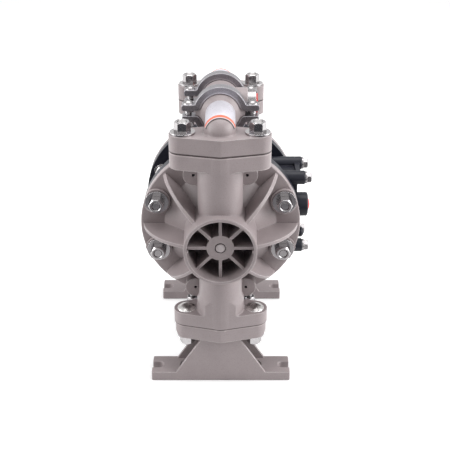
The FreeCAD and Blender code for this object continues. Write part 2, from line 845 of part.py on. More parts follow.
# Shuttle: rod, plates and diaphragms

def diaphragm_rod():
    centre = point(0, 0, axis_z)
    rod = bar(rod_r, centre + FRONT * rod_half_l, centre - FRONT * rod_half_l)
    for end in (FRONT, FRONT * -1):
        tip = centre + end * (rod_half_l + over)
        rod = rod.cut(bar(rod_screw_r + thread_fit, centre + end * (rod_half_l - rod_screw_run), tip))
    return rod


def rod_bushing():
    return tube(rod_r + bushing_wall, rod_r + running_fit, point(0, -housing_half_y, axis_z),
                point(0, -housing_half_y + bushing_l, axis_z))


def rod_seal():
    seal_y = housing_half_y + seal_setback
    return tube(rod_r + bushing_wall, rod_r + running_fit, point(0, -seal_y, axis_z),
                point(0, -seal_y - seal_l, axis_z))


def air_plate():
    """Stiff disc on the air side of a diaphragm."""
    hole = rod_screw_r + thread_fit
    outer_y = rod_half_l + air_plate_t
    return around_pump([
        (hole, rod_half_l), (air_plate_r - air_plate_t / 2, rod_half_l),
        (air_plate_r, rod_half_l + air_plate_t / 2), (air_plate_r, outer_y), (hole, outer_y)])


def diaphragm_face_y():
    return rod_half_l + air_plate_t + diaphragm_gap


def diaphragm():
    """Rubber disc with one rolled fold between the plates and the clamped rim."""
    low = diaphragm_face_y()
    high = low + diaphragm_t
    fold_r = (diaphragm_flat_r + chamber_r) / 2

    def spot(radius, depth):
        return point(radius, -depth, axis_z)

    hole = rod_screw_r + diaphragm_gap
    edges = [
        Part.makeLine(spot(hole, low), spot(diaphragm_flat_r, low)),
        Part.Arc(spot(diaphragm_flat_r, low), spot(fold_r, low + diaphragm_roll),
                 spot(chamber_r - over, low)).toShape(),
        Part.makeLine(spot(chamber_r - over, low), spot(diaphragm_r, low)),
        Part.makeLine(spot(diaphragm_r, low), spot(diaphragm_r, high)),
        Part.makeLine(spot(diaphragm_r, high), spot(chamber_r - over, high)),
        Part.Arc(spot(chamber_r - over, high), spot(fold_r, high + diaphragm_roll),
                 spot(diaphragm_flat_r, high)).toShape(),
        Part.makeLine(spot(diaphragm_flat_r, high), spot(hole, high)),
        Part.makeLine(spot(hole, high), spot(hole, low)),
    ]
    return Part.Face(Part.Wire(edges)).revolve(point(0, 0, axis_z), FRONT, 360)


def fluid_plate_y():
    return diaphragm_face_y() + diaphragm_t + diaphragm_gap


def fluid_plate():
    """Stiff disc on the fluid side of a diaphragm."""
    low = fluid_plate_y()
    high = low + fluid_plate_t
    hole = rod_screw_r + thread_fit
    return around_pump([
        (hole, low), (fluid_plate_r, low), (fluid_plate_r, low + fluid_plate_t / 3),
        (fluid_plate_r - fluid_plate_t, high), (hole, high)])


def rod_screw():
    base = point(0, -fluid_plate_y() - fluid_plate_t, axis_z)
    length = fluid_plate_y() + fluid_plate_t - rod_half_l + rod_screw_run - screw_end_gap
    head = bar(rod_screw_head_r, base, base + FRONT * rod_screw_head_t)
    return joined([head, bar(rod_screw_r, base, base - FRONT * length)])


def pilot_rod():
    """Trip rod that the air plates push at the ends of the stroke."""
    waist_from = pilot_land_l / 2
    waist_to = waist_from + pilot_waist_l
    half = [(pilot_r, waist_from), (pilot_waist_r, waist_from), (pilot_waist_r, waist_to),
            (pilot_r, waist_to), (pilot_r, pilot_half_l)]
    other = [(radius, -run) for radius, run in reversed(half)]
    profile = [(0, -pilot_half_l)] + other + half + [(0, pilot_half_l)]
    return turned(profile, point(0, 0, pilot_z), FRONT)


def pilot_bushing():
    return tube(pilot_r + pilot_bushing_wall, pilot_r + running_fit, point(0, -housing_half_y, pilot_z),
                point(0, -housing_half_y + pilot_bushing_l, pilot_z))


# Check valves

def ball(z):
    return Part.makeSphere(ball_r, point(0, -port_y, z))


def seat_ring(z_low):
    return tube(cage_r - seat_fit, seat_bore_r, point(0, -port_y, z_low), point(0, -port_y, z_low + seat_t))


def face_seal(radius, centre, axis):
    return Part.makeTorus(radius, ring_seal_r, centre, axis)


def seal_groove(radius, face_centre, axis):
    """Square groove for a ring seal, cut back from a face."""
    half = ring_seal_groove / 2
    floor = face_centre + axis * ring_seal_groove
    return tube(radius + half, radius - half, face_centre - axis * over, floor)


# Manifolds

def clamp_joint_profile(play=0.0):
    """Half of the wedge flange that a pipe clamp grips: (radius, distance from the joint)."""
    return [(clamp_flange_r + play, 0), (clamp_flange_r + play, clamp_flange_t + play),
            (clamp_neck_r + play, clamp_flange_t + clamp_neck_run + play)]


def pipe_end(pipe_z):
    """Pipe with its clamp flange at the joint to the tee."""
    joint = clamp_y + swivel_gap / 2
    profile = [(0, joint)]
    for radius, run in clamp_joint_profile():
        profile.append((radius, joint + run))
    neck_y = joint + clamp_flange_t + clamp_neck_run
    profile += [(pipe_r, neck_y + collar_run), (pipe_r, port_y), (0, port_y)]
    return turned(profile, point(0, 0, pipe_z), FRONT)


def elbow_hollows(pipe_z, joint_z):
    """Bend from the port down to the pipe end, with the seal grooves."""
    corner = point(0, -port_y, pipe_z)
    up = 1 if joint_z > pipe_z else -1
    joint = clamp_y + swivel_gap / 2
    hollows = [
        Part.makeSphere(pipe_bore_r, corner),
        bar(pipe_bore_r, corner, point(0, -port_y, joint_z + up * over)),
        bar(pipe_bore_r, corner, point(0, -joint + over, pipe_z)),
        seal_groove(swivel_seal_r, point(0, -joint, pipe_z), FRONT),
        seal_groove(flange_seal_r, point(0, -port_y, joint_z), Z * -up)]
    return hollows


def outlet_elbow():
    """Elbow on top of a fluid cap that turns into the outlet pipe."""
    corner = point(0, -port_y, outlet_pipe_z)
    body = joined([
        flange_plate(outlet_joint_z, elbow_top_z),
        tube_foot(elbow_top_z, 1, pipe_r, elbow_fillet),
        bar(pipe_r, point(0, -port_y, outlet_joint_z), corner),
        Part.makeSphere(pipe_r, corner),
        pipe_end(outlet_pipe_z)])
    mouth = bar(port_bore_r, point(0, -port_y, outlet_joint_z - over),
                point(0, -port_y, outlet_stop_z + outlet_stop_h))
    ribs = joined(stop_ribs(outlet_stop_z, outlet_stop_h + over, port_bore_r, stop_rib_reach))
    hollows = elbow_hollows(outlet_pipe_z, outlet_joint_z) + [mouth]
    cutter = joined(hollows + flange_holes(outlet_joint_z - over, elbow_top_z + over)).cut(ribs)
    return body.cut(cutter)


def gusset(y_low, y_high):
    """Sloping plate between the foot's base and its flange."""
    corners = [(-gusset_foot_x, foot_base_t - over), (gusset_foot_x, foot_base_t - over),
               (gusset_foot_x, foot_base_t), (gusset_top_x, foot_under_z + over),
               (-gusset_top_x, foot_under_z + over), (-gusset_foot_x, foot_base_t)]
    outline = [point(x, y_low, z) for x, z in corners]
    face = Part.Face(Part.makePolygon(outline + outline[:1]))
    return face.extrude(Y * (y_high - y_low))


def foot_base():
    base = block((-foot_half_l, foot_half_l), (-port_y - foot_half_d, -port_y + foot_half_d),
                 (0, foot_base_t))
    uprights = [edge for edge in base.Edges if edge.Length < foot_base_t + touch and
                abs(edge.Vertexes[0].Z - edge.Vertexes[1].Z) > over]
    base = base.makeFillet(foot_corner_r, uprights)
    half = foot_slot_w / 2
    for side in (-1, 1):
        root_x = side * (foot_half_l - foot_slot_run + half)
        tip_x = side * (foot_half_l + over)
        base = base.cut(bar(half, point(root_x, -port_y, -over), point(root_x, -port_y, foot_base_t + over)))
        base = base.cut(block((root_x, tip_x), (-port_y - half, -port_y + half), (-over, foot_base_t + over)))
    base = base.makeChamfer(foot_slot_chamfer, [edge for edge in base.Edges if is_slot_edge(edge)])
    run = foot_window_x - foot_window_half_d
    window = block((-run, run), (-port_y - foot_window_half_d, -port_y + foot_window_half_d),
                   (-over, foot_base_t + over))
    ends = []
    for x in (-run, run):
        ends.append(bar(foot_window_half_d, point(x, -port_y, -over), point(x, -port_y, foot_base_t + over)))
    return base.cut(joined([window] + ends))


def is_slot_edge(edge):
    """Upper edges of the two slots, which get a chamfer."""
    half = foot_slot_w / 2
    return all(abs(vertex.Z - foot_base_t) < touch and abs(vertex.Y + port_y) < half + touch
               for vertex in edge.Vertexes)


def foot_flange():
    """Flange under a fluid cap, with the lower edges of its two ends cut away."""
    plate = flange_plate(foot_under_z, inlet_joint_z, foot_flange_trim)
    tip = flange_bolt_x + flange_end_r - foot_flange_trim
    for side in (-1, 1):
        corners = [(tip - foot_flange_chamfer - over, foot_under_z - over), (tip + over, foot_under_z - over),
                   (tip + over, foot_under_z + foot_flange_chamfer + over)]
        outline = [point(side * x, -port_y - flange_half_depth, z) for x, z in corners]
        wedge = Part.Face(Part.makePolygon(outline + outline[:1])).extrude(Y * 2 * flange_half_depth)
        plate = plate.cut(wedge)
    return plate


def inlet_foot():
    """Foot with the inlet elbow and the lower flange in one moulding."""
    corner = point(0, -port_y, inlet_pipe_z)
    front_y = -port_y - foot_half_d
    rear_y = -port_y + foot_half_d
    body = joined([
        foot_base(),
        gusset(front_y, front_y + gusset_t),
        gusset(rear_y - gusset_t, rear_y),
        foot_flange(),
        bar(pipe_r, corner, point(0, -port_y, inlet_joint_z)),
        Part.makeSphere(pipe_r, corner),
        pipe_end(inlet_pipe_z)])
    hollows = elbow_hollows(inlet_pipe_z, inlet_joint_z)
    hollows += flange_holes(foot_under_z - over, inlet_joint_z + over)
    return body.cut(joined(hollows))


def tee(pipe_z):
    """Swivelling tee between the two clamps, with its port towards +X."""
    joint = clamp_y - swivel_gap / 2
    half = []
    for radius, run in clamp_joint_profile():
        half.append((radius, joint - run))
    half.append((tee_body_r, joint - clamp_flange_t - clamp_neck_run - over))
    other = [(radius, -run) for radius, run in reversed(half)]
    profile = [(0, joint)] + half + other + [(0, -joint)]
    centre = point(0, 0, pipe_z)
    body = joined([
        turned(profile, centre, FRONT),
        bar(tee_boss_r, centre, centre + X * port_collar_x),
        bar(port_ring_r - port_ring_wall, centre, centre + X * (port_collar_x + port_ring_t))])
    mouth_x = port_collar_x + port_ring_t
    run_bore = bar(pipe_bore_r, centre + FRONT * (joint + over), centre - FRONT * (joint + over))
    branch = bar(port_thread_r - over, centre, centre + X * mouth_x)
    thread = bar(port_thread_r, centre + X * (mouth_x - port_thread_run), centre + X * (mouth_x + over))
    return body.cut(joined([run_bore, branch, thread]))


def port_ring(pipe_z):
    """Polished reinforcing ring round a port."""
    start = point(port_collar_x, 0, pipe_z)
    return tube(port_ring_r, port_ring_r - port_ring_wall, start, start + X * port_ring_t)


def outlet_plug():
    """Shipping plug in the outlet port."""
    face = point(port_collar_x + port_ring_t, 0, outlet_pipe_z)
    head = bar(plug_head_r, face, face + X * plug_head_t)
    return joined([head, bar(port_thread_r - plug_fit, face - X * plug_shank_run, face)])


# Pipe clamps

def clamp_half(pipe_z, up):
    """Half of a pipe clamp: an arched band with a wedge groove and two bolted ears."""
    front_y = -clamp_y - clamp_half_w
    depth = Y * 2 * clamp_half_w
    ear_low = ear_gap / 2
    ear_high = ear_low + ear_t

    def slab(x_low, x_high, z_low, z_high):
        return block((x_low, x_high), (front_y, front_y + depth.y), (z_low, z_high))

    band = bar(clamp_outer_r, point(0, front_y, 0), point(0, front_y, 0) + depth)
    ears = slab(-ear_tip_x, ear_tip_x, ear_low, ear_high)
    below = slab(-ear_tip_x - over, ear_tip_x + over, -clamp_outer_r - over, ear_low)
    blank = joined([band.cut(below), ears])
    root = math.sqrt(clamp_outer_r ** 2 - ear_high ** 2)
    blank = blank.makeFillet(ear_blend_r, lines_at(blank, root, ear_high))
    opening = bar(clamp_lip_r, point(0, front_y - over, 0), point(0, front_y + depth.y + over, 0))
    blank = blank.cut(opening)
    mouth = math.sqrt(clamp_lip_r ** 2 - ear_low ** 2)
    blank = blank.makeFillet(ear_mouth_r, lines_at(blank, mouth, ear_low))
    tips = lines_at(blank, ear_tip_x, ear_low) + lines_at(blank, ear_tip_x, ear_high)
    blank = blank.makeFillet(ear_corner_r, tips)
    holes = [clamp_groove()]
    for x in (-ear_bolt_x, ear_bolt_x):
        holes.append(bar(m6_r + bolt_clearance / 2, point(x, -clamp_y, ear_low - over),
                         point(x, -clamp_y, ear_high + over)))
    half = blank.cut(joined(holes))
    if up < 0:
        half = half.mirror(ORIGIN, Z)
    half.translate(Z * pipe_z)
    return half


def clamp_groove():
    """Wedge groove with a small play round the two flanges."""
    gap = swivel_gap / 2
    side = [(radius, run + gap) for radius, run in clamp_joint_profile(clamp_play)[1:]]
    other = [(radius, -run) for radius, run in side]
    end = side[-1][1]
    profile = [(0, end)] + list(reversed(side)) + other + [(0, -end)]
    return turned(profile, point(0, -clamp_y, 0), FRONT)


def lines_at(shape, x, z):
    """Edges along Y at one height, on both sides of the middle."""
    found = []
    for edge in shape.Edges:
        ends = [vertex.Point for vertex in edge.Vertexes]
        if len(ends) == 2 and all(abs(abs(end.x) - x) < touch and abs(end.z - z) < touch for end in ends):
            found.append(edge)
    return found


def clamp_screw(x, pipe_z, up):
    """Screw through both ears: heads outermost on the pump's top and underside."""
    seat = ear_gap / 2 + ear_t
    length = 2 * seat + m6_nut_h + m6_tip_rise
    return button_screw(length, point(x, -clamp_y, pipe_z + up * seat), Z * -up)


def clamp_nut(x, pipe_z, up):
    seat = ear_gap / 2 + ear_t
    return nut(m6_flats, m6_nut_h, m6_r, point(x, -clamp_y, pipe_z - up * seat), Z * -up, clamp_nut_turn)


# Writing the parts

def save_end_pieces():
    """Pieces that exist once at each end of the pump."""
    pieces = {
        "fluid_cap": fluid_cap(),
        "air_cap": air_cap(),
        "diaphragm": diaphragm(),
        "air_plate": air_plate(),
        "fluid_plate": fluid_plate(),
        "inlet_ball": ball(inlet_ball_z),
        "outlet_ball": ball(outlet_ball_z),
        "inlet_seat": seat_ring(inlet_joint_z),
        "outlet_seat": seat_ring(outlet_seat_z),
        "outlet_elbow": outlet_elbow(),
        "inlet_foot": inlet_foot(),
        "outlet_clamp_top": clamp_half(outlet_pipe_z, 1),
        "outlet_clamp_bottom": clamp_half(outlet_pipe_z, -1),
        "inlet_clamp_top": clamp_half(inlet_pipe_z, 1),
        "inlet_clamp_bottom": clamp_half(inlet_pipe_z, -1),
    }
    for name, shape in pieces.items():
        save("front_" + name, shape)
        save("rear_" + name, mirrored(shape))


def save_single_pieces():
    save("centre_housing", centre_housing())
    save("valve_gasket", valve_gasket())
    save("valve_block", valve_block())
    save("valve_bolts", Part.makeCompound(valve_bolts()))
    save("valve_top_cap", valve_end_cap(1))
    save("valve_bottom_cap", valve_end_cap(-1))
    save("valve_spool", spool())
    save("air_inlet_plug", air_inlet_plug())
    save("diaphragm_rod", diaphragm_rod())
    save("pilot_rod", pilot_rod())
    save("outlet_tee", tee(outlet_pipe_z))
    save("inlet_tee", tee(inlet_pipe_z))
    save("outlet_port_ring", port_ring(outlet_pipe_z))
    save("inlet_port_ring", port_ring(inlet_pipe_z))
    save("outlet_port_plug", outlet_plug())


def save_groups():
    """Identical small pieces, kept as separate solids in one node."""
    save("rod_bushings", Part.makeCompound(both_ends([rod_bushing()])))
    save("rod_seals", Part.makeCompound(both_ends([rod_seal()])))
    save("rod_screws", Part.makeCompound(both_ends([rod_screw()])))
    save("pilot_bushings", Part.makeCompound(both_ends([pilot_bushing()])))
    save_ring_seals()
    save_rim_fasteners()
    save_flange_fasteners()
    save_clamp_fasteners()


def save_ring_seals():
    joint = clamp_y + swivel_gap / 2
    swivel_seals = []
    for pipe_z in (inlet_pipe_z, outlet_pipe_z):
        swivel_seals.append(face_seal(swivel_seal_r, point(0, -joint - ring_seal_groove / 2, pipe_z), FRONT))
    flange_seals = [
        face_seal(flange_seal_r, point(0, -port_y, inlet_joint_z - ring_seal_groove / 2), Z),
        face_seal(flange_seal_r, point(0, -port_y, outlet_joint_z + ring_seal_groove / 2), Z)]
    save("swivel_seals", Part.makeCompound(both_ends(swivel_seals)))
    save("flange_seals", Part.makeCompound(both_ends(flange_seals)))


def save_rim_fasteners():
    bolts = []
    nuts = []
    washers = []
    screws = []
    bolt_l = air_rim_t + fluid_rim_t + rim_pad_h + washer_t + m8_nut_h - m8_tip_setback
    screw_l = air_rim_t + fluid_rim_t + blind_boss_depth / 2 - screw_end_gap
    for degrees in through_angles:
        bolts.append(flanged_screw(bolt_l, on_circle(bolt_circle_r, degrees, air_face_y), FRONT))
        washers.append(washer(washer_r, on_circle(bolt_circle_r, degrees, pad_front_y), FRONT))
        nut_seat = on_circle(bolt_circle_r, degrees, pad_front_y + washer_t)
        nuts.append(nut(m8_flats, m8_nut_h, m8_r, nut_seat, FRONT))
    for degrees in blind_angles:
        screws.append(flanged_screw(screw_l, on_circle(bolt_circle_r, degrees, air_face_y), FRONT))
    save("rim_bolts", Part.makeCompound(both_ends(bolts)))
    save("rim_nuts", Part.makeCompound(both_ends(nuts)))
    save("rim_washers", Part.makeCompound(both_ends(washers)))
    save("rim_screws", Part.makeCompound(both_ends(screws)))


def save_flange_fasteners():
    bolts = []
    nuts = []
    washers = []
    ends = m8_nut_h + washer_t - m8_tip_setback
    for x in (-flange_bolt_x, flange_bolt_x):
        top_l = elbow_top_z - cap_top_z + ends
        low_l = cap_bottom_z - foot_under_z + ends
        bolts.append(domed_bolt(top_l, point(x, -port_y, cap_top_z), Z))
        bolts.append(domed_bolt(low_l, point(x, -port_y, cap_bottom_z), Z * -1))
        washers.append(washer(washer_r, point(x, -port_y, elbow_top_z), Z))
        washers.append(washer(washer_low_r(), point(x, -port_y, foot_under_z), Z * -1))
        nuts.append(nut(m8_flats, m8_nut_h, m8_r, point(x, -port_y, elbow_top_z + washer_t), Z))
        nuts.append(nut(m8_flats, m8_nut_h, m8_r, point(x, -port_y, foot_under_z - washer_t), Z * -1))
    save("flange_bolts", Part.makeCompound(both_ends(bolts)))
    save("flange_nuts", Part.makeCompound(both_ends(nuts)))
    save("flange_washers", Part.makeCompound(both_ends(washers)))


def washer_low_r():
    """Washers under the foot flange stay between the two gussets."""
    return min(washer_r, foot_half_d - gusset_t - washer_low_gap)


def save_clamp_fasteners():
    screws = []
    nuts = []
    for x in (-ear_bolt_x, ear_bolt_x):
        for pipe_z, up in ((outlet_pipe_z, 1), (inlet_pipe_z, -1)):
            screws.append(clamp_screw(x, pipe_z, up))
            nuts.append(clamp_nut(x, pipe_z, up))
    save("clamp_screws", Part.makeCompound(both_ends(screws)))
    save("clamp_nuts", Part.makeCompound(both_ends(nuts)))


save_end_pieces()
save_single_pieces()
save_groups()
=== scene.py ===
# %% [markdown]
# # A diaphragm pump, dressed from its frame
# The pump comes in as a fixed frame of CAD nodes, already at its real size and place. Every piece made
# here is fitted to that frame: the nodes give the places and the forms, and this file gives the finishes,
# the small fastener detail, the labels, the light and the camera.

# %% Load the frame and note its box
import json
import math

import bmesh
import bpy
from mathutils import Matrix, Vector


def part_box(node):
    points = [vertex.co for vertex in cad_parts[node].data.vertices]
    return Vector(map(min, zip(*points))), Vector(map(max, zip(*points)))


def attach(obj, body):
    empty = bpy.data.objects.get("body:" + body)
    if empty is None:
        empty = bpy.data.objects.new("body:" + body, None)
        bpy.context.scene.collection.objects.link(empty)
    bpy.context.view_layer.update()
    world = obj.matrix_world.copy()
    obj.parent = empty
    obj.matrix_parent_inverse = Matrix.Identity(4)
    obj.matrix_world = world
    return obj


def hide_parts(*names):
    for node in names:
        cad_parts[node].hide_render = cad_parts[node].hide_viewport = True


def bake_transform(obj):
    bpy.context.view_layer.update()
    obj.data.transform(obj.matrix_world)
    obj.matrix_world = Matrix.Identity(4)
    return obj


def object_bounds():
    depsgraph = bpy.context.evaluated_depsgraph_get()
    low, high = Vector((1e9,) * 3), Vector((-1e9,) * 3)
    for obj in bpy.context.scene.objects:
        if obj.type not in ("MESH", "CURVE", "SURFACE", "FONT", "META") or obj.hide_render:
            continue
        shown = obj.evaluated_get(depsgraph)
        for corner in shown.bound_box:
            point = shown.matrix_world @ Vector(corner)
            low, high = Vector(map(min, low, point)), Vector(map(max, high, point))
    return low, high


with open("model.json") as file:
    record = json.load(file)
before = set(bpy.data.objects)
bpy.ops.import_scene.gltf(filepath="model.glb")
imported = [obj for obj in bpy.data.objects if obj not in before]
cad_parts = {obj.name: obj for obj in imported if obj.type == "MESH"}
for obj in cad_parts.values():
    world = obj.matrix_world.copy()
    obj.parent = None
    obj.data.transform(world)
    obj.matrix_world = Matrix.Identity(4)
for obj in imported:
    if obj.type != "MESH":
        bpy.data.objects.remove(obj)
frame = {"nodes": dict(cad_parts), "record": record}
cad_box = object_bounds()
nodes = frame["nodes"]
print("nodes:", len(nodes), "box:", [[round(v, 4) for v in corner] for corner in cad_box])

# %% [markdown]
# ## The camera
# The photo looks along the pump's rod from the front and from above. A camera was fitted to the outlines
# of the rims, flanges and feet, which gives its place, its tilt and how strongly it sees perspective.
# Setting those numbers directly is simpler and truer than aiming by eye.

# %% Camera
PHOTO_PX = 450
FOCAL_PX = 761.2
SENSOR_MM = 36.0
CAMERA_PLACE = (0.00425, -0.709, 0.4776)
CAMERA_TILT_DEG = 63.8

camera_data = bpy.data.cameras.new("photo_camera")
camera_data.sensor_fit = "HORIZONTAL"
camera_data.sensor_width = SENSOR_MM
camera_data.lens = FOCAL_PX / PHOTO_PX * SENSOR_MM
camera_data.clip_start = 0.02
camera_data.clip_end = 60.0
camera = bpy.data.objects.new("photo_camera", camera_data)
camera.location = CAMERA_PLACE
camera.rotation_euler = (math.radians(CAMERA_TILT_DEG), 0.0, 0.0)
bpy.context.scene.collection.objects.link(camera)
bpy.context.scene.camera = camera
bpy.context.scene.view_settings.view_transform = "Standard"
print("lens:", round(camera_data.lens, 2), "mm")

# %% [markdown]
# ## Building materials from small steps
# Each finish is a short graph: patterns made by noise in the object's own space, a colour ramp or two, and
# a bump. A few helpers keep every recipe readable: one adds a node, one makes a noise pattern at a stated
# grain size in millimetres, and one finds the edges, where handling and moulding leave a paler line.

# %% Node helpers
def add_node(material, kind, **settings):
    node = material.node_tree.nodes.new(kind)
    for name, value in settings.items():
        setattr(node, name, value)
    return node


def wire(material, source, target):
    material.node_tree.links.new(source, target)


def srgb(red, green, blue):
    def straight(level):
        share = level / 255.0
        return share / 12.92 if share <= 0.04045 else ((share + 0.055) / 1.055) ** 2.4
    return (straight(red), straight(green), straight(blue), 1.0)


def new_material(name):
    material = bpy.data.materials.new(name)
    material.use_nodes = True
    shader = material.node_tree.nodes["Principled BSDF"]
    return material, shader


print("grey 160 is", round(srgb(160, 160, 160)[0], 3), "as light")

# %% Pattern helpers
def place_in_object(material, stretch=(1.0, 1.0, 1.0)):
    coordinate = add_node(material, "ShaderNodeTexCoord")
    mapping = add_node(material, "ShaderNodeMapping")
    mapping.inputs["Scale"].default_value = stretch
    wire(material, coordinate.outputs["Object"], mapping.inputs["Vector"])
    return mapping.outputs["Vector"]


def noise(material, place, grain_mm, detail=3.0, rough=0.55):
    pattern = add_node(material, "ShaderNodeTexNoise")
    pattern.inputs["Scale"].default_value = 1000.0 / grain_mm
    pattern.inputs["Detail"].default_value = detail
    pattern.inputs["Roughness"].default_value = rough
    wire(material, place, pattern.inputs["Vector"])
    return pattern.outputs["Fac"]


def map_range(material, source, **limits):
    """The source on a new scale; a limit from_min stands for the socket From Min, and so on."""
    node = add_node(material, "ShaderNodeMapRange")
    wire(material, source, node.inputs["Value"])
    for name, value in limits.items():
        node.inputs[name.replace("_", " ").title()].default_value = value
    return node.outputs["Result"]


def ramp(material, source, stops):
    node = add_node(material, "ShaderNodeValToRGB")
    band = node.color_ramp
    while len(band.elements) < len(stops):
        band.elements.new(0.5)
    for element, (place, colour) in zip(band.elements, stops):
        element.position = place
        element.color = colour
    wire(material, source, node.inputs["Fac"])
    return node.outputs["Color"]


def grey_ramp(material, source, low, low_value, high, high_value):
    return ramp(material, source, [(low, (low_value,) * 3 + (1.0,)), (high, (high_value,) * 3 + (1.0,))])


# One mixing node serves numbers, vectors and colours; these are its sockets for colours
MIX_FACTOR = 0
MIX_FIRST = 6
MIX_SECOND = 7
MIX_RESULT = 2


def mix_colour(material, kind, factor, first, second):
    node = add_node(material, "ShaderNodeMix", data_type="RGBA", blend_type=kind)
    for socket, value in ((MIX_FACTOR, factor), (MIX_FIRST, first), (MIX_SECOND, second)):
        if isinstance(value, (float, tuple)):
            node.inputs[socket].default_value = value
        else:
            wire(material, value, node.inputs[socket])
    return node.outputs[MIX_RESULT]


# %% Edge, hollow and bump helpers
CLEAR = (1.0, 1.0, 1.0, 1.0)
PROBE_SAMPLES = 6


def rounded_normal(material, radius_mm):
    node = add_node(material, "ShaderNodeBevel", samples=PROBE_SAMPLES)
    node.inputs["Radius"].default_value = radius_mm / 1000.0
    return node.outputs["Normal"]


def near_surface(material, reach_mm, inside=False):
    node = add_node(material, "ShaderNodeAmbientOcclusion", samples=PROBE_SAMPLES, inside=inside,
                    only_local=inside)
    node.inputs["Distance"].default_value = reach_mm / 1000.0
    return node.outputs["AO"]


def edge_mask(material, width_mm):
    return grey_ramp(material, near_surface(material, width_mm, inside=True), 0.55, 1.0, 0.86, 0.0)


def hollow_mask(material, reach_mm, deep, open_at):
    return grey_ramp(material, near_surface(material, reach_mm), deep, 1.0, open_at, 0.0)


def darken(material, colour, mask, tint):
    shade = ramp(material, mask, [(0.0, CLEAR), (1.0, tint)])
    return mix_colour(material, "MULTIPLY", 1.0, colour, shade)


def multiply(material, first, second):
    node = add_node(material, "ShaderNodeMath", operation="MULTIPLY")
    wire(material, first, node.inputs[0])
    wire(material, second, node.inputs[1])
    return node.outputs[0]


def bump(material, height, depth_mm, strength, normal=None):
    node = add_node(material, "ShaderNodeBump")
    node.inputs["Strength"].default_value = strength
    node.inputs["Distance"].default_value = depth_mm / 1000.0
    wire(material, height, node.inputs["Height"])
    if normal is not None:
        wire(material, normal, node.inputs["Normal"])
    return node.outputs["Normal"]


print("pattern helpers ready")

# %% [markdown]
# ## Moulded plastic
# The wetted parts are moulded in a filled grey polypropylene. Close up it is not one grey: fine pale and
# dark specks of filler show through, slow clouds follow the flow in the mould, and the skin has a light
# grain. Outer edges are painted paler, found by looking a short way into the wall: partly rubbing, partly
# a painted highlight. Joints and deep pockets are painted darker, found by looking out for nearby surfaces:
# that is painted shade. The same graph with other colours makes the bluish black plastic of the air
# section, so it is written once as a recipe with a few settings.

# %% Flange seams
# The seam colours are painted light: a dark band of painted shadow in each flange joint, and a pale band of
# painted highlight on the lip below it.
SEAM_DARK = 0.0009
SEAM_PALE = 0.0021
SEAM_SHADOW = (0.22, 0.20, 0.20, 1.0)
LIP_HIGHLIGHT_TOP = (1.38, 1.38, 1.38, 1.0)
LIP_HIGHLIGHT_FOOT = (1.26, 1.26, 1.26, 1.0)


def seam_lines(material, place, colour, heights):
    """Painted shadow in each flange joint, and a painted highlight on the lip of the lower flange just
    under it.
    """
    split = add_node(material, "ShaderNodeSeparateXYZ")
    wire(material, place, split.inputs["Vector"])
    for height in heights:
        drop = map_range(material, split.outputs["Z"], from_min=height + SEAM_DARK,
                         from_max=height - SEAM_PALE)
        dark_end = 2.0 * SEAM_DARK / (SEAM_DARK + SEAM_PALE)
        line = ramp(material, drop, [
            (0.0, CLEAR), (0.12, SEAM_SHADOW), (dark_end - 0.08, SEAM_SHADOW),
            (dark_end + 0.05, LIP_HIGHLIGHT_TOP), (0.92, LIP_HIGHLIGHT_FOOT), (1.0, CLEAR)])
        colour = mix_colour(material, "MULTIPLY", 1.0, colour, line)
    return colour


# %% Moulded plastic recipe
FLOW_CLOUD_MM = 34.0
RUBBED_AND_HIGHLIT_EDGE_MM = 0.8
JOINT_MM = 2.2
POCKET_MM = 20.0
SKIN_ROUND_MM = 1.1


def moulded_plastic(name, base, speck_dark, speck_pale, edge_colour, grain_mm, grain_depth_mm,
                    rough_low, rough_high, edge_share, joint_shade_tint, hollow_shade_tint, seams=()):
    material, shader = new_material(name)
    place = place_in_object(material)
    clouds = noise(material, place, FLOW_CLOUD_MM, detail=2.0)
    specks = noise(material, place, grain_mm, detail=4.0, rough=0.7)
    fine = noise(material, place, grain_mm * 0.45, detail=2.0)
    dim = tuple(0.95 * v for v in base[:3]) + (1.0,)
    bright = tuple(1.05 * v for v in base[:3]) + (1.0,)

    dark_specks = grey_ramp(material, specks, 0.34, 0.5, 0.44, 0.0)
    pale_specks = grey_ramp(material, specks, 0.58, 0.0, 0.70, 0.45)
    # Paler outer edges: partly rubbing, partly a painted highlight along the convex edges.
    wear_and_highlight_share = grey_ramp(material, clouds, 0.30, edge_share * 0.5, 0.60, edge_share)
    worn_and_highlit_edges = multiply(material, edge_mask(material, RUBBED_AND_HIGHLIT_EDGE_MM), wear_and_highlight_share)
    colour = mix_colour(material, "MIX", grey_ramp(material, clouds, 0.35, 0.0, 0.65, 1.0), dim, bright)
    colour = mix_colour(material, "MIX", dark_specks, colour, speck_dark)
    colour = mix_colour(material, "MIX", pale_specks, colour, speck_pale)
    colour = mix_colour(material, "MIX", worn_and_highlit_edges, colour, edge_colour)
    # Painted shade: darker in joints between parts and in deep pockets, where little light reaches.
    colour = darken(material, colour, hollow_mask(material, JOINT_MM, 0.30, 0.62), joint_shade_tint)
    colour = darken(material, colour, hollow_mask(material, POCKET_MM, 0.03, 0.17), hollow_shade_tint)
    if seams:
        colour = seam_lines(material, place, colour, seams)
    wire(material, colour, shader.inputs["Base Color"])
    sheen = grey_ramp(material, specks, 0.30, rough_low, 0.70, rough_high)
    wire(material, sheen, shader.inputs["Roughness"])
    skin = bump(material, fine, grain_depth_mm, 0.55, rounded_normal(material, SKIN_ROUND_MM))
    wire(material, skin, shader.inputs["Normal"])
    return material, shader


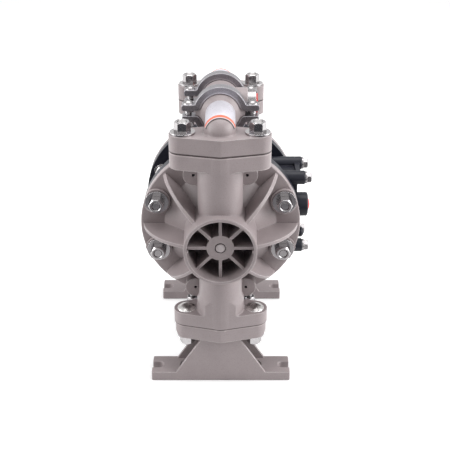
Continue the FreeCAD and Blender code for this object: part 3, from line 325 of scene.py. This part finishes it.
# %% Grey and black plastic
OUTLET_SEAM_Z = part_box("front_fluid_cap")[1][2]
INLET_SEAM_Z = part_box("front_fluid_cap")[0][2]
# The joint and hollow tints below are painted shade for joints and deep pockets.
grey_moulding, grey_shader = moulded_plastic(
    "grey_moulding", srgb(158, 147, 148), srgb(132, 121, 122), srgb(176, 166, 167), srgb(228, 219, 220),
    grain_mm=0.9, grain_depth_mm=0.045, rough_low=0.30, rough_high=0.44, edge_share=0.75,
    joint_shade_tint=(0.32, 0.30, 0.30, 1.0), hollow_shade_tint=(0.17, 0.20, 0.27, 1.0),
    seams=(OUTLET_SEAM_Z, INLET_SEAM_Z))
black_moulding, black_shader = moulded_plastic(
    "black_moulding", srgb(24, 25, 36), srgb(17, 18, 27), srgb(35, 36, 50), srgb(72, 73, 87),
    grain_mm=0.7, grain_depth_mm=0.045, rough_low=0.34, rough_high=0.50, edge_share=0.40,
    joint_shade_tint=(0.45, 0.45, 0.46, 1.0), hollow_shade_tint=(0.70, 0.70, 0.71, 1.0))
grey_shader.inputs["Specular IOR Level"].default_value = 0.35
black_shader.inputs["Specular IOR Level"].default_value = 0.32
print("moulded:", grey_moulding.name, black_moulding.name)

# %% [markdown]
# ## Metals
# The nuts and rim bolts are polished stainless steel: nearly mirror smooth, with fine hairlines. The domed
# bolt heads and the inlet port ring are satin. The valve bolts, the clamp screws and the outlet port ring
# are duller and darker. The washers are turned, so their grain runs in rings: the distance from the nearest
# of four mirrored bolt centres feeds the noise in place of the plain coordinate.
# The pipe clamps are cast and tumbled, so they look softer and darker, with a fine sandy grain. The air
# side plates and the spool are aluminium with a drawn grain.

# %% Helpers for turned rings
def ring_place(material, place, first, second, first_centre, second_centre):
    """Coordinate that grows with the distance from four mirrored centres, for turned rings."""
    parts = add_node(material, "ShaderNodeSeparateXYZ")
    wire(material, place, parts.inputs["Vector"])
    offsets = add_node(material, "ShaderNodeCombineXYZ")
    for target, axis, (middle, half_gap) in ((0, first, first_centre), (1, second, second_centre)):
        shifted = add_node(material, "ShaderNodeMath", operation="SUBTRACT")
        wire(material, parts.outputs[axis], shifted.inputs[0])
        shifted.inputs[1].default_value = middle
        folded = add_node(material, "ShaderNodeMath", operation="ABSOLUTE")
        wire(material, shifted.outputs[0], folded.inputs[0])
        offset = add_node(material, "ShaderNodeMath", operation="SUBTRACT")
        wire(material, folded.outputs[0], offset.inputs[0])
        offset.inputs[1].default_value = half_gap
        wire(material, offset.outputs[0], offsets.inputs[target])
    length = add_node(material, "ShaderNodeVectorMath", operation="LENGTH")
    wire(material, offsets.outputs[0], length.inputs[0])
    rings = add_node(material, "ShaderNodeCombineXYZ")
    wire(material, length.outputs["Value"], rings.inputs[0])
    return rings.outputs[0]


def washer_centres(name, axis, radius):
    """Middle and half spacing of the outer washers along one axis, from the node's own box."""
    low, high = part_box(name)
    return ((low[axis] + high[axis]) / 2.0, (high[axis] - low[axis]) / 2.0 - radius)


print("ring helpers ready")

# %% Metal recipe
STAIN_MM = 9.0
CREVICE_MM = 1.6
CREVICE_SHADE = (0.35, 0.34, 0.34, 1.0)


def metal(name, colour, dark, rough_low, rough_high, grain_mm, grain_depth_mm, stretch=(1.0, 1.0, 1.0),
          soft_mm=0.35, stain=0.25, grain_share=0.35, edge_mm=0.6, rings=None):
    material, shader = new_material(name)
    shader.inputs["Metallic"].default_value = 1.0
    place = place_in_object(material)
    clouds = noise(material, place, STAIN_MM, detail=3.0)
    bright = tuple(min(1.0, 1.6 * v + 0.25) for v in colour[:3]) + (1.0,)
    drawn = place_in_object(material, stretch) if rings is None else ring_place(material, place, *rings)
    lines = noise(material, drawn, grain_mm, detail=5.0, rough=0.65)
    soft_normal = rounded_normal(material, soft_mm)
    tone = mix_colour(material, "MIX", grey_ramp(material, clouds, 0.40, 0.0, 0.62, stain), colour, dark)
    tone = mix_colour(material, "MIX", grey_ramp(material, lines, 0.42, grain_share, 0.60, 0.0), tone, dark)
    # Edges painted brighter: a painted highlight along rounded edges, with some rubbing.
    rubbed_and_highlit = multiply(material, edge_mask(material, edge_mm), lines)
    tone = mix_colour(material, "MIX", rubbed_and_highlit, tone, bright)
    # Painted shade: darker in crevices close to nearby surfaces.
    tone = darken(material, tone, hollow_mask(material, CREVICE_MM, 0.30, 0.70), CREVICE_SHADE)
    wire(material, tone, shader.inputs["Base Color"])
    sheen = grey_ramp(material, lines, 0.30, rough_low, 0.70, rough_high)
    wire(material, sheen, shader.inputs["Roughness"])
    wire(material, bump(material, lines, grain_depth_mm, 0.4, soft_normal), shader.inputs["Normal"])
    return material


# %% Metals of the pump
WASHER_R = 0.0112
STEEL = srgb(184, 181, 182)
STEEL_DARK = srgb(112, 110, 112)
polished_steel = metal("polished_steel", STEEL, STEEL_DARK, 0.10, 0.22, 0.5, 0.008, stretch=(1.0, 1.0, 0.3),
                       stain=0.12, grain_share=0.14)
dull_steel = metal("dull_steel", srgb(160, 157, 158), srgb(92, 90, 92), 0.20, 0.34, 0.5, 0.012)
satin_steel = metal("satin_steel", srgb(205, 202, 200), srgb(146, 144, 143), 0.22, 0.34, 0.5, 0.015)
rim_washer_steel = metal(
    "rim_washer_steel", STEEL, STEEL_DARK, 0.14, 0.26, 0.35, 0.012, stain=0.12, grain_share=0.16,
    rings=("X", "Z", washer_centres("rim_washers", 0, WASHER_R),
           washer_centres("rim_washers", 2, WASHER_R)))
flange_washer_steel = metal(
    "flange_washer_steel", STEEL, STEEL_DARK, 0.12, 0.26, 0.35, 0.012, stain=0.12, grain_share=0.16,
    rings=("X", "Y", washer_centres("flange_washers", 0, WASHER_R),
           washer_centres("flange_washers", 1, WASHER_R)))
clamp_steel = metal("clamp_casting", srgb(156, 153, 158), srgb(104, 102, 107), 0.24, 0.40, 0.55, 0.04,
                    soft_mm=0.9, edge_mm=1.0)
turned_alloy = metal("turned_aluminium", srgb(205, 206, 208), srgb(160, 161, 164), 0.24, 0.40, 0.4, 0.02,
                     stretch=(1.0, 0.2, 1.0))
print("metals:", polished_steel.name, rim_washer_steel.name, clamp_steel.name, turned_alloy.name)

# %% [markdown]
# ## Rubber, seat plastic and the red plugs
# Diaphragms, seals and the gasket are black rubber with a dull bloom. The seats, bushings and fluid side
# plates are a pale bearing plastic, a little waxy, and the check balls are a warmer, duller rubber. The
# shipping plugs are soft red polyethylene, which lets some light in, so they get a little scattering under
# the skin.

# %% Soft material recipes
SOFT_CLOUD_MM = 7.0
SOFT_ROUND_MM = 0.4
SCATTER_REACH = (0.004, 0.0012, 0.0010)


def plain_moulding(name, base, other, grain_mm, depth_mm, rough_low, rough_high, scatter=0.0):
    material, shader = new_material(name)
    place = place_in_object(material)
    clouds = noise(material, place, SOFT_CLOUD_MM, detail=3.0)
    fine = noise(material, place, grain_mm, detail=3.0)
    tone = mix_colour(material, "MIX", grey_ramp(material, clouds, 0.35, 0.0, 0.65, 1.0), base, other)
    wire(material, tone, shader.inputs["Base Color"])
    sheen = grey_ramp(material, fine, 0.30, rough_low, 0.70, rough_high)
    wire(material, sheen, shader.inputs["Roughness"])
    soft_normal = rounded_normal(material, SOFT_ROUND_MM)
    wire(material, bump(material, fine, depth_mm, 0.5, soft_normal), shader.inputs["Normal"])
    if scatter:
        shader.inputs["Subsurface Weight"].default_value = scatter
        shader.inputs["Subsurface Radius"].default_value = SCATTER_REACH
    return material


# %% Rubber, bearing plastic and plugs
seal_rubber = plain_moulding("seal_rubber", srgb(30, 30, 31), srgb(44, 44, 45), 0.5, 0.03, 0.55, 0.75)
seat_plastic = plain_moulding("seat_plastic", srgb(222, 218, 206), srgb(206, 201, 188), 0.6, 0.02,
                              0.30, 0.45)
ball_rubber = plain_moulding("ball_rubber", srgb(222, 216, 198), srgb(208, 201, 182), 0.8, 0.03,
                             0.42, 0.60)
red_plug = plain_moulding("red_plug", srgb(214, 62, 58), srgb(198, 50, 48), 0.9, 0.03,
                          0.26, 0.42, scatter=0.08)
print("soft materials:", seal_rubber.name, seat_plastic.name, ball_rubber.name, red_plug.name)

# %% [markdown]
# ## Giving each node its finish
# The record says which material slot each node belongs to, so most finishes are given by slot. Steel is
# the one slot that covers several looks, so the clamps, the washers, the port rings and the bolts that are
# not polished are named one by one.

# %% Finish by slot
FINISH_BY_SLOT = {
    "grey_plastic": grey_moulding, "black_plastic": black_moulding, "stainless_steel": polished_steel,
    "seal_rubber": seal_rubber, "red_plastic": red_plug, "aluminium_alloy": turned_alloy,
    "bearing_plastic": seat_plastic, "ball_rubber": ball_rubber,
}
FINISH_BY_NODE = {
    "rim_washers": rim_washer_steel, "flange_washers": flange_washer_steel,
    "flange_bolts": satin_steel, "inlet_port_ring": satin_steel,
    "outlet_port_ring": dull_steel, "valve_bolts": dull_steel, "clamp_screws": dull_steel,
}
slot_of = {entry["node"]: entry["material_slot"] for entry in frame["record"]["subparts"]}


def finish_node(name, material):
    node = nodes[name]
    if not node.data.materials:
        node.data.materials.append(material)
    for holder in node.material_slots:
        holder.material = material


for node_name in nodes:
    is_clamp = "clamp_top" in node_name or "clamp_bottom" in node_name
    by_slot = clamp_steel if is_clamp else FINISH_BY_SLOT[slot_of[node_name]]
    finish_node(node_name, FINISH_BY_NODE.get(node_name, by_slot))
print("finished", len(nodes), "nodes")

# %% [markdown]
# ## Labels on the outlet pipes
# Each elbow's pipe carries a white film label that wraps over its top, with an orange stripe near the
# bend. A label is a thin skin with a real thickness: a row of points is spun about the pipe's axis and
# given a wall, so its rim shows as a fine line. The last points of the row follow the start of the bend.
# The stripe is printed, and a thin dark brown band runs along the film's end at the bend; both are drawn in
# the material.

# %% Piece helper
def keep_piece(name, shape, material, body):
    bmesh.ops.recalc_face_normals(shape, faces=shape.faces)
    mesh = bpy.data.meshes.new(name)
    shape.to_mesh(mesh)
    shape.free()
    mesh.shade_smooth()
    mesh.materials.append(material)
    piece = bpy.data.objects.new(name, mesh)
    bpy.context.scene.collection.objects.link(piece)
    if body:
        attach(piece, body)
    print(name, len(mesh.polygons), "faces")
    return piece


# %% Label sizes
PIPE_Z = 0.2585
PIPE_R = 0.0140
LABEL_NEAR_CLAMP = 0.0345
BEND_START = 0.0776
LABEL_NEAR_BEND = 0.0840
LABEL_HALF_ANGLE_DEG = 74.0
LABEL_T = 0.00012
END_BAND_W = 0.0016
STRIPE_EDGE = 0.0026
STRIPE_W = 0.0044
PRINT_BLUR = 0.004
LABEL_TURN_STEPS = 56
BEND_STEPS = 5
print("label length:", round(1000.0 * (LABEL_NEAR_BEND - LABEL_NEAR_CLAMP), 1), "mm")

# %% Label film
label_film, label_shader = new_material("label_film")
label_place = place_in_object(label_film)
along = add_node(label_film, "ShaderNodeSeparateXYZ")
wire(label_film, label_place, along.inputs["Vector"])
distance = add_node(label_film, "ShaderNodeMath", operation="ABSOLUTE")
wire(label_film, along.outputs["Y"], distance.inputs[0])
from_clamp = map_range(label_film, distance.outputs[0], from_min=LABEL_NEAR_CLAMP,
                       from_max=LABEL_NEAR_BEND)
film_white = srgb(226, 224, 233)
stripe_orange = srgb(232, 112, 78)
# A thin dark brown band along the film's end at the bend.
end_band_brown = srgb(74, 62, 58)
run = LABEL_NEAR_BEND - LABEL_NEAR_CLAMP
stripe_start = 1.0 - (STRIPE_EDGE + STRIPE_W) / run
stripe_end = 1.0 - STRIPE_EDGE / run
end_band_start = 1.0 - END_BAND_W / run
print_colour = ramp(label_film, from_clamp, [
    (0.0, film_white), (stripe_start - PRINT_BLUR, film_white), (stripe_start, stripe_orange),
    (stripe_end, stripe_orange), (stripe_end + PRINT_BLUR, film_white),
    (end_band_start - PRINT_BLUR, film_white), (end_band_start, end_band_brown)])
film_dust = grey_ramp(label_film, noise(label_film, label_place, 5.0, detail=5.0), 0.35, 0.93, 0.60, 1.0)
film_colour = mix_colour(label_film, "MULTIPLY", 1.0, print_colour, film_dust)
wire(label_film, film_colour, label_shader.inputs["Base Color"])
wire(label_film, grey_ramp(label_film, noise(label_film, label_place, 1.6), 0.3, 0.26, 0.7, 0.40),
     label_shader.inputs["Roughness"])
wire(label_film, bump(label_film, noise(label_film, label_place, 2.5), 0.03, 0.4),
     label_shader.inputs["Normal"])
print("label film:", label_film.name)


# %% Label shapes
def label(name, side):
    shape = bmesh.new()
    turn = Matrix.Rotation(math.radians(180.0 - LABEL_HALF_ANGLE_DEG), 3, "Y")
    reach = LABEL_NEAR_BEND - BEND_START
    stations = [LABEL_NEAR_CLAMP]
    for step in range(BEND_STEPS + 1):
        stations.append(BEND_START + reach * step / BEND_STEPS)
    points = []
    for y in stations:
        past_bend = max(0.0, y - BEND_START)
        start = turn @ Vector((0.0, 0.0, -math.sqrt(PIPE_R ** 2 - past_bend ** 2) - LABEL_T))
        points.append(shape.verts.new((start.x, side * y, PIPE_Z + start.z)))
    edges = [shape.edges.new(pair) for pair in zip(points, points[1:])]
    bmesh.ops.spin(shape, geom=[*points, *edges], cent=(0.0, 0.0, PIPE_Z), axis=(0.0, 1.0, 0.0),
                   angle=math.radians(2.0 * LABEL_HALF_ANGLE_DEG), steps=LABEL_TURN_STEPS)
    bmesh.ops.recalc_face_normals(shape, faces=shape.faces)
    bmesh.ops.solidify(shape, geom=shape.faces[:], thickness=LABEL_T)
    keep_piece(name, shape, label_film, "housing")


label("front_pipe_label", -1.0)
label("rear_pipe_label", 1.0)

# %% [markdown]
# ## Screw threads
# The solids carry plain shanks and bores, because a thread is fine detail. Here a thread is one small
# triangle spun about the screw's axis while it also moves along it, which makes a helix in a single step.
# It is laid where a shank or a bore shows: between the ears of the clamps and inside the two open ports.

# %% Thread helper
M6_CORE_R = 0.0030
M6_PITCH = 0.0010
M6_RIDGE = 0.00018
THREAD_SINK = 0.0001
SCREW_STEPS = 24
PORT_STEPS = 48


def thread_shape(core_r, ridge, pitch, length, steps):
    """Helical ridge about +Z from the origin: outward where the ridge is positive, else inward."""
    shape = bmesh.new()
    turns = length / pitch - 1.0
    sink = math.copysign(THREAD_SINK, ridge)
    corners = [(core_r - sink, 0.0, 0.0), (core_r + ridge, 0.0, pitch / 2.0), (core_r - sink, 0.0, pitch)]
    points = [shape.verts.new(corner) for corner in corners]
    sides = [shape.edges.new((points[i], points[(i + 1) % 3])) for i in range(3)]
    count = round(turns * steps)
    bmesh.ops.spin(shape, geom=[*points, *sides], cent=(0, 0, 0), axis=(0, 0, 1),
                   dvec=(0, 0, pitch / steps), angle=math.tau * count / steps, steps=count)
    bmesh.ops.holes_fill(shape, edges=[side for side in shape.edges if side.is_boundary], sides=0)
    return shape


def copies(shape, places):
    """One mesh with the shape repeated at each of several placements."""
    whole = bmesh.new()
    part = bpy.data.meshes.new("thread_part")
    shape.to_mesh(part)
    shape.free()
    for place in places:
        moved = bmesh.new()
        moved.from_mesh(part)
        bmesh.ops.transform(moved, matrix=place, verts=moved.verts)
        held = bpy.data.meshes.new("thread_held")
        moved.to_mesh(held)
        moved.free()
        whole.from_mesh(held)
        bpy.data.meshes.remove(held)
    bpy.data.meshes.remove(part)
    return whole


# %% Threads on the clamp screws
screw_low, screw_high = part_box("clamp_screws")
M6_HEAD_R = 0.00525
EAR_GAP = 0.005
INLET_PIPE_Z = 0.0440
screw_x = (screw_high[0] - screw_low[0]) / 2.0 - M6_HEAD_R
screw_y = (screw_high[1] - screw_low[1]) / 2.0 - M6_HEAD_R
between_ears = []
for pipe_z in (PIPE_Z, INLET_PIPE_Z):
    for x in (-screw_x, screw_x):
        for y in (-screw_y, screw_y):
            between_ears.append(Matrix.Translation((x, y, pipe_z - EAR_GAP / 2.0)))
ear_threads = copies(thread_shape(M6_CORE_R, M6_RIDGE, M6_PITCH, EAR_GAP, SCREW_STEPS), between_ears)
keep_piece("clamp_screw_threads", ear_threads, polished_steel, "housing")

# %% Threads in the open ports
PORT_R = 0.0093
PORT_PITCH = 0.0018
PORT_RUN = 0.0150
PORT_RIDGE = -0.0007
EXHAUST_R = 0.0076
EXHAUST_PITCH = 0.0014
EXHAUST_RUN = 0.0130
EXHAUST_RIDGE = -0.0005
AXIS_Z = 0.1530
inlet_mouth_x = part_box("inlet_port_ring")[1][0]
exhaust_mouth_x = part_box("centre_housing")[0][0]
along_x = Matrix.Rotation(math.radians(90), 4, "Y")
to_port = Matrix.Translation((inlet_mouth_x - PORT_RUN, 0.0, INLET_PIPE_Z)) @ along_x
to_exhaust = Matrix.Translation((exhaust_mouth_x, 0.0, AXIS_Z)) @ along_x
port_thread = copies(thread_shape(PORT_R, PORT_RIDGE, PORT_PITCH, PORT_RUN, PORT_STEPS), [to_port])
keep_piece("inlet_port_thread", port_thread, grey_moulding, "inlet_tee")
exhaust_shape = thread_shape(EXHAUST_R, EXHAUST_RIDGE, EXHAUST_PITCH, EXHAUST_RUN, PORT_STEPS)
exhaust_thread = copies(exhaust_shape, [to_exhaust])
keep_piece("exhaust_port_thread", exhaust_thread, black_moulding, "housing")

# %% [markdown]
# ## Moulding marks inside the ring
# Each fluid cap has a small dome on its hub, where the plastic entered the mould, and two small
# nubs on the ring's inner wall under the level spokes. Both are given a paler plastic: a painted highlight.
# They are too small for the solids, so each is a squashed ball, sunk into the plastic behind it.

# %% Buttons and nubs
BUTTON_R = 0.0042
BUTTON_RISE = 0.0017
BUTTON_DEPTH = 0.0087
NUB_R = 0.0012
NUB_HALF_L = 0.0024
NUB_X = 0.0302
NUB_DROP = 0.0022
NUB_DEPTH = 0.0062
BALL_SIDES = 32
BALL_RINGS = 16
# The button plastic is painted paler than the grey moulding: a painted highlight.
button_pale, _ = moulded_plastic(
    "button_plastic", srgb(184, 175, 176), srgb(160, 150, 151), srgb(204, 196, 196), srgb(222, 215, 215),
    grain_mm=0.9, grain_depth_mm=0.03, rough_low=0.24, rough_high=0.36, edge_share=0.3,
    joint_shade_tint=(0.30, 0.28, 0.28, 1.0), hollow_shade_tint=(0.90, 0.90, 0.90, 1.0))


def squashed_ball(middle, radii):
    shape = bmesh.new()
    bmesh.ops.create_uvsphere(shape, u_segments=BALL_SIDES, v_segments=BALL_RINGS, radius=1.0)
    bmesh.ops.scale(shape, vec=radii, verts=shape.verts)
    bmesh.ops.translate(shape, vec=middle, verts=shape.verts)
    return shape


for end, side in (("front", -1.0), ("rear", 1.0)):
    ring_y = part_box(end + "_fluid_cap")[0 if side < 0.0 else 1][1]
    button_y = ring_y - side * BUTTON_DEPTH
    button = squashed_ball((0.0, button_y, AXIS_Z), (BUTTON_R, BUTTON_RISE, BUTTON_R))
    keep_piece(end + "_hub_button", button, button_pale, "housing")
    for nub_side, x in (("left", -NUB_X), ("right", NUB_X)):
        nub = squashed_ball((x, ring_y - side * NUB_DEPTH, AXIS_Z - NUB_DROP), (NUB_R, NUB_HALF_L, NUB_R))
        keep_piece(end + "_" + nub_side + "_nub", nub, button_pale, "housing")

# %% [markdown]
# ## Diaphragms cut into sectors
# The middle of each rubber diaphragm is clamped to the rod and travels with it, while its rim stays in the
# housing. A blend bends a piece between two bodies, but only along one line, and a diaphragm stretches
# outwards all round. So a copy of each solid diaphragm is cut into equal sectors about the rod's axis,
# each kept as its own piece, and the solid diaphragm is hidden.

# %% Diaphragm sectors
SECTORS = 8
SHARP_DEG = 35.0
MERGE_WITHIN = 1e-6
CUT_WITHIN = 1e-7


def sector_shape(node_name, first, last):
    shape = bmesh.new()
    shape.from_mesh(nodes[node_name].data)
    bmesh.ops.remove_doubles(shape, verts=shape.verts, dist=MERGE_WITHIN)
    for turn, outward in ((first, -1.0), (last, 1.0)):
        normal = (-outward * math.sin(turn), 0.0, outward * math.cos(turn))
        bmesh.ops.bisect_plane(shape, geom=[*shape.verts, *shape.edges, *shape.faces], dist=CUT_WITHIN,
                               plane_co=(0.0, 0.0, AXIS_Z), plane_no=normal, clear_outer=True)
        bmesh.ops.holes_fill(shape, edges=[side for side in shape.edges if side.is_boundary], sides=0)
    return shape


for end in ("front", "rear"):
    node_name = end + "_diaphragm"
    half = math.pi / SECTORS
    for index in range(SECTORS):
        middle = math.tau * index / SECTORS
        shape = sector_shape(node_name, middle - half, middle + half)
        sector_name = node_name + "_sector_" + str(index + 1)
        sector = keep_piece(sector_name, shape, seal_rubber, None)
        sector.data.set_sharp_from_angle(angle=math.radians(SHARP_DEG))
        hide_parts(node_name)
        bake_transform(sector)

# %% [markdown]
# ## The floor and the studio
# The photo has a white ground, soft light from above and from both sides, and a dark room behind the
# camera. The floor is pale and lit plainly; its share of white for camera rays grows with the distance
# from the pump, so the ground turns white while the shadow under the feet still shows. Next to the pump
# that share is cut back, which paints a darker contact shadow on top of the cast one. A card lies in
# front of the pump, out of the camera's sight, and runs from pale to dark: polished faces that look forward
# mirror it, which is what gives steel its dark faces and its slow change of tone.

# %% Helper for light that is seen
def seen_directly(painted):
    """One where the camera or a mirror looks at the surface, and zero where it only lights the pump."""
    rays = add_node(painted, "ShaderNodeLightPath")
    either = add_node(painted, "ShaderNodeMath", operation="MAXIMUM")
    wire(painted, rays.outputs["Is Camera Ray"], either.inputs[0])
    wire(painted, rays.outputs["Is Glossy Ray"], either.inputs[1])
    return either.outputs[0]


print("light helper ready")

# %% Sheet helper
def flat_sheet(name, low_x, high_x, low_y, high_y, height, material):
    shape = bmesh.new()
    bmesh.ops.create_grid(shape, x_segments=1, y_segments=1, size=0.5)
    middle = ((low_x + high_x) / 2.0, (low_y + high_y) / 2.0, height)
    bmesh.ops.scale(shape, vec=(high_x - low_x, high_y - low_y, 1.0), verts=shape.verts)
    bmesh.ops.translate(shape, vec=middle, verts=shape.verts)
    mesh = bpy.data.meshes.new(name)
    shape.to_mesh(mesh)
    shape.free()
    mesh.materials.append(material)
    sheet = bpy.data.objects.new(name, mesh)
    bpy.context.scene.collection.objects.link(sheet)
    return sheet


# %% Floor
FLOOR_HALF = 6.0
FLOOR_TONE = (0.80, 0.80, 0.80, 1.0)
LIFT_NEAR = 0.47
LIFT_FAR = 0.75
CONTACT_SHARE = 0.25
CONTACT_MM = 14.0
NEAR_M = 0.10
FAR_M = 0.60
FLOOR_GAP = 0.0003
floor_paint, floor_shader = new_material("floor_paint")
floor_shader.inputs["Roughness"].default_value = 0.9
floor_shader.inputs["Specular IOR Level"].default_value = 0.1
floor_shader.inputs["Base Color"].default_value = FLOOR_TONE
distance_out = add_node(floor_paint, "ShaderNodeVectorMath", operation="LENGTH")
wire(floor_paint, place_in_object(floor_paint), distance_out.inputs[0])
lift = map_range(floor_paint, distance_out.outputs["Value"], from_min=NEAR_M, from_max=FAR_M,
                 to_min=LIFT_NEAR, to_max=LIFT_FAR)
# Painted contact shadow: the floor's glow is cut back where the pump's feet are close.
glow_outside_painted_shadow = grey_ramp(floor_paint, near_surface(floor_paint, CONTACT_MM), 0.45, CONTACT_SHARE, 0.95, 1.0)
lifted = multiply(floor_paint, lift, glow_outside_painted_shadow)
glow = add_node(floor_paint, "ShaderNodeEmission")
wire(floor_paint, multiply(floor_paint, seen_directly(floor_paint), lifted), glow.inputs["Strength"])
both = add_node(floor_paint, "ShaderNodeAddShader")
wire(floor_paint, floor_shader.outputs["BSDF"], both.inputs[0])
wire(floor_paint, glow.outputs["Emission"], both.inputs[1])
wire(floor_paint, both.outputs["Shader"], floor_paint.node_tree.nodes["Material Output"].inputs["Surface"])
floor_z = cad_box[0][2] - FLOOR_GAP
floor = flat_sheet("floor", -FLOOR_HALF, FLOOR_HALF, -FLOOR_HALF, FLOOR_HALF, floor_z, floor_paint)
print("floor at", round(1000.0 * floor_z, 2), "mm")

# %% Card that runs from pale to dark
CARD_HALF_W = 1.3
CARD_NEAR = -0.20
CARD_FAR = -0.80
CARD_END = -2.2
CARD_Z = 0.004
card_paint, card_shader = new_material("card_paint")
card_split = add_node(card_paint, "ShaderNodeSeparateXYZ")
wire(card_paint, place_in_object(card_paint), card_split.inputs["Vector"])
card_run = map_range(card_paint, card_split.outputs["Y"], from_min=CARD_NEAR, from_max=CARD_FAR)
card_tone = ramp(card_paint, card_run, [
    (0.0, srgb(214, 213, 214)), (0.23, srgb(168, 166, 168)), (0.42, srgb(106, 104, 108)),
    (0.62, srgb(56, 56, 62)), (1.0, srgb(46, 46, 52))])
wire(card_paint, card_tone, card_shader.inputs["Base Color"])
card_shader.inputs["Roughness"].default_value = 0.8
card = flat_sheet("dark_card", -CARD_HALF_W, CARD_HALF_W, CARD_END, CARD_NEAR, CARD_Z, card_paint)
card.visible_camera = False
card.visible_diffuse = False
card.visible_shadow = False
print("stage:", floor.name, card.name)

# %% [markdown]
# ## The sky and the lamps
# The sky is full white where it is seen and dim where it only lights the pump, so the ground behind stays
# white and the lamps keep the forms. A wide softbox hangs above. One stands at each side, the right one
# stronger, with a small key lamp in front of it to lift the faces that look forward.

# %% Sky
SKY_AS_LIGHT = 0.15
SKY_AS_SEEN = 1.0
world = bpy.data.worlds.new("studio")
bpy.context.scene.world = world
world.use_nodes = True
sky = world.node_tree.nodes["Background"]
sky_level = map_range(world, seen_directly(world), to_min=SKY_AS_LIGHT, to_max=SKY_AS_SEEN)
wire(world, sky_level, sky.inputs["Strength"])
sky.inputs["Color"].default_value = CLEAR
print("sky as light:", SKY_AS_LIGHT)


# %% Lamps
def soft_lamp(name, place, aim, width, height, power):
    data = bpy.data.lights.new(name, "AREA")
    data.shape = "RECTANGLE"
    data.size = width
    data.size_y = height
    data.energy = power
    lamp = bpy.data.objects.new(name, data)
    lamp.location = place
    lamp.rotation_euler = (Vector(aim) - Vector(place)).to_track_quat("-Z", "Y").to_euler()
    bpy.context.scene.collection.objects.link(lamp)
    return lamp


PUMP_MIDDLE = (0.0, 0.0, 0.14)
soft_lamp("top_softbox", (0.0, 0.10, 1.5), PUMP_MIDDLE, 1.2, 1.0, 13.0)
soft_lamp("left_softbox", (-1.35, -0.22, 0.70), PUMP_MIDDLE, 0.9, 1.1, 13.5)
soft_lamp("right_softbox", (1.35, -0.22, 0.70), PUMP_MIDDLE, 0.9, 1.1, 18.0)
soft_lamp("left_key", (-0.95, -0.60, 0.85), PUMP_MIDDLE, 0.5, 0.5, 2.0)
soft_lamp("right_key", (0.95, -0.60, 0.85), PUMP_MIDDLE, 0.5, 0.5, 3.2)
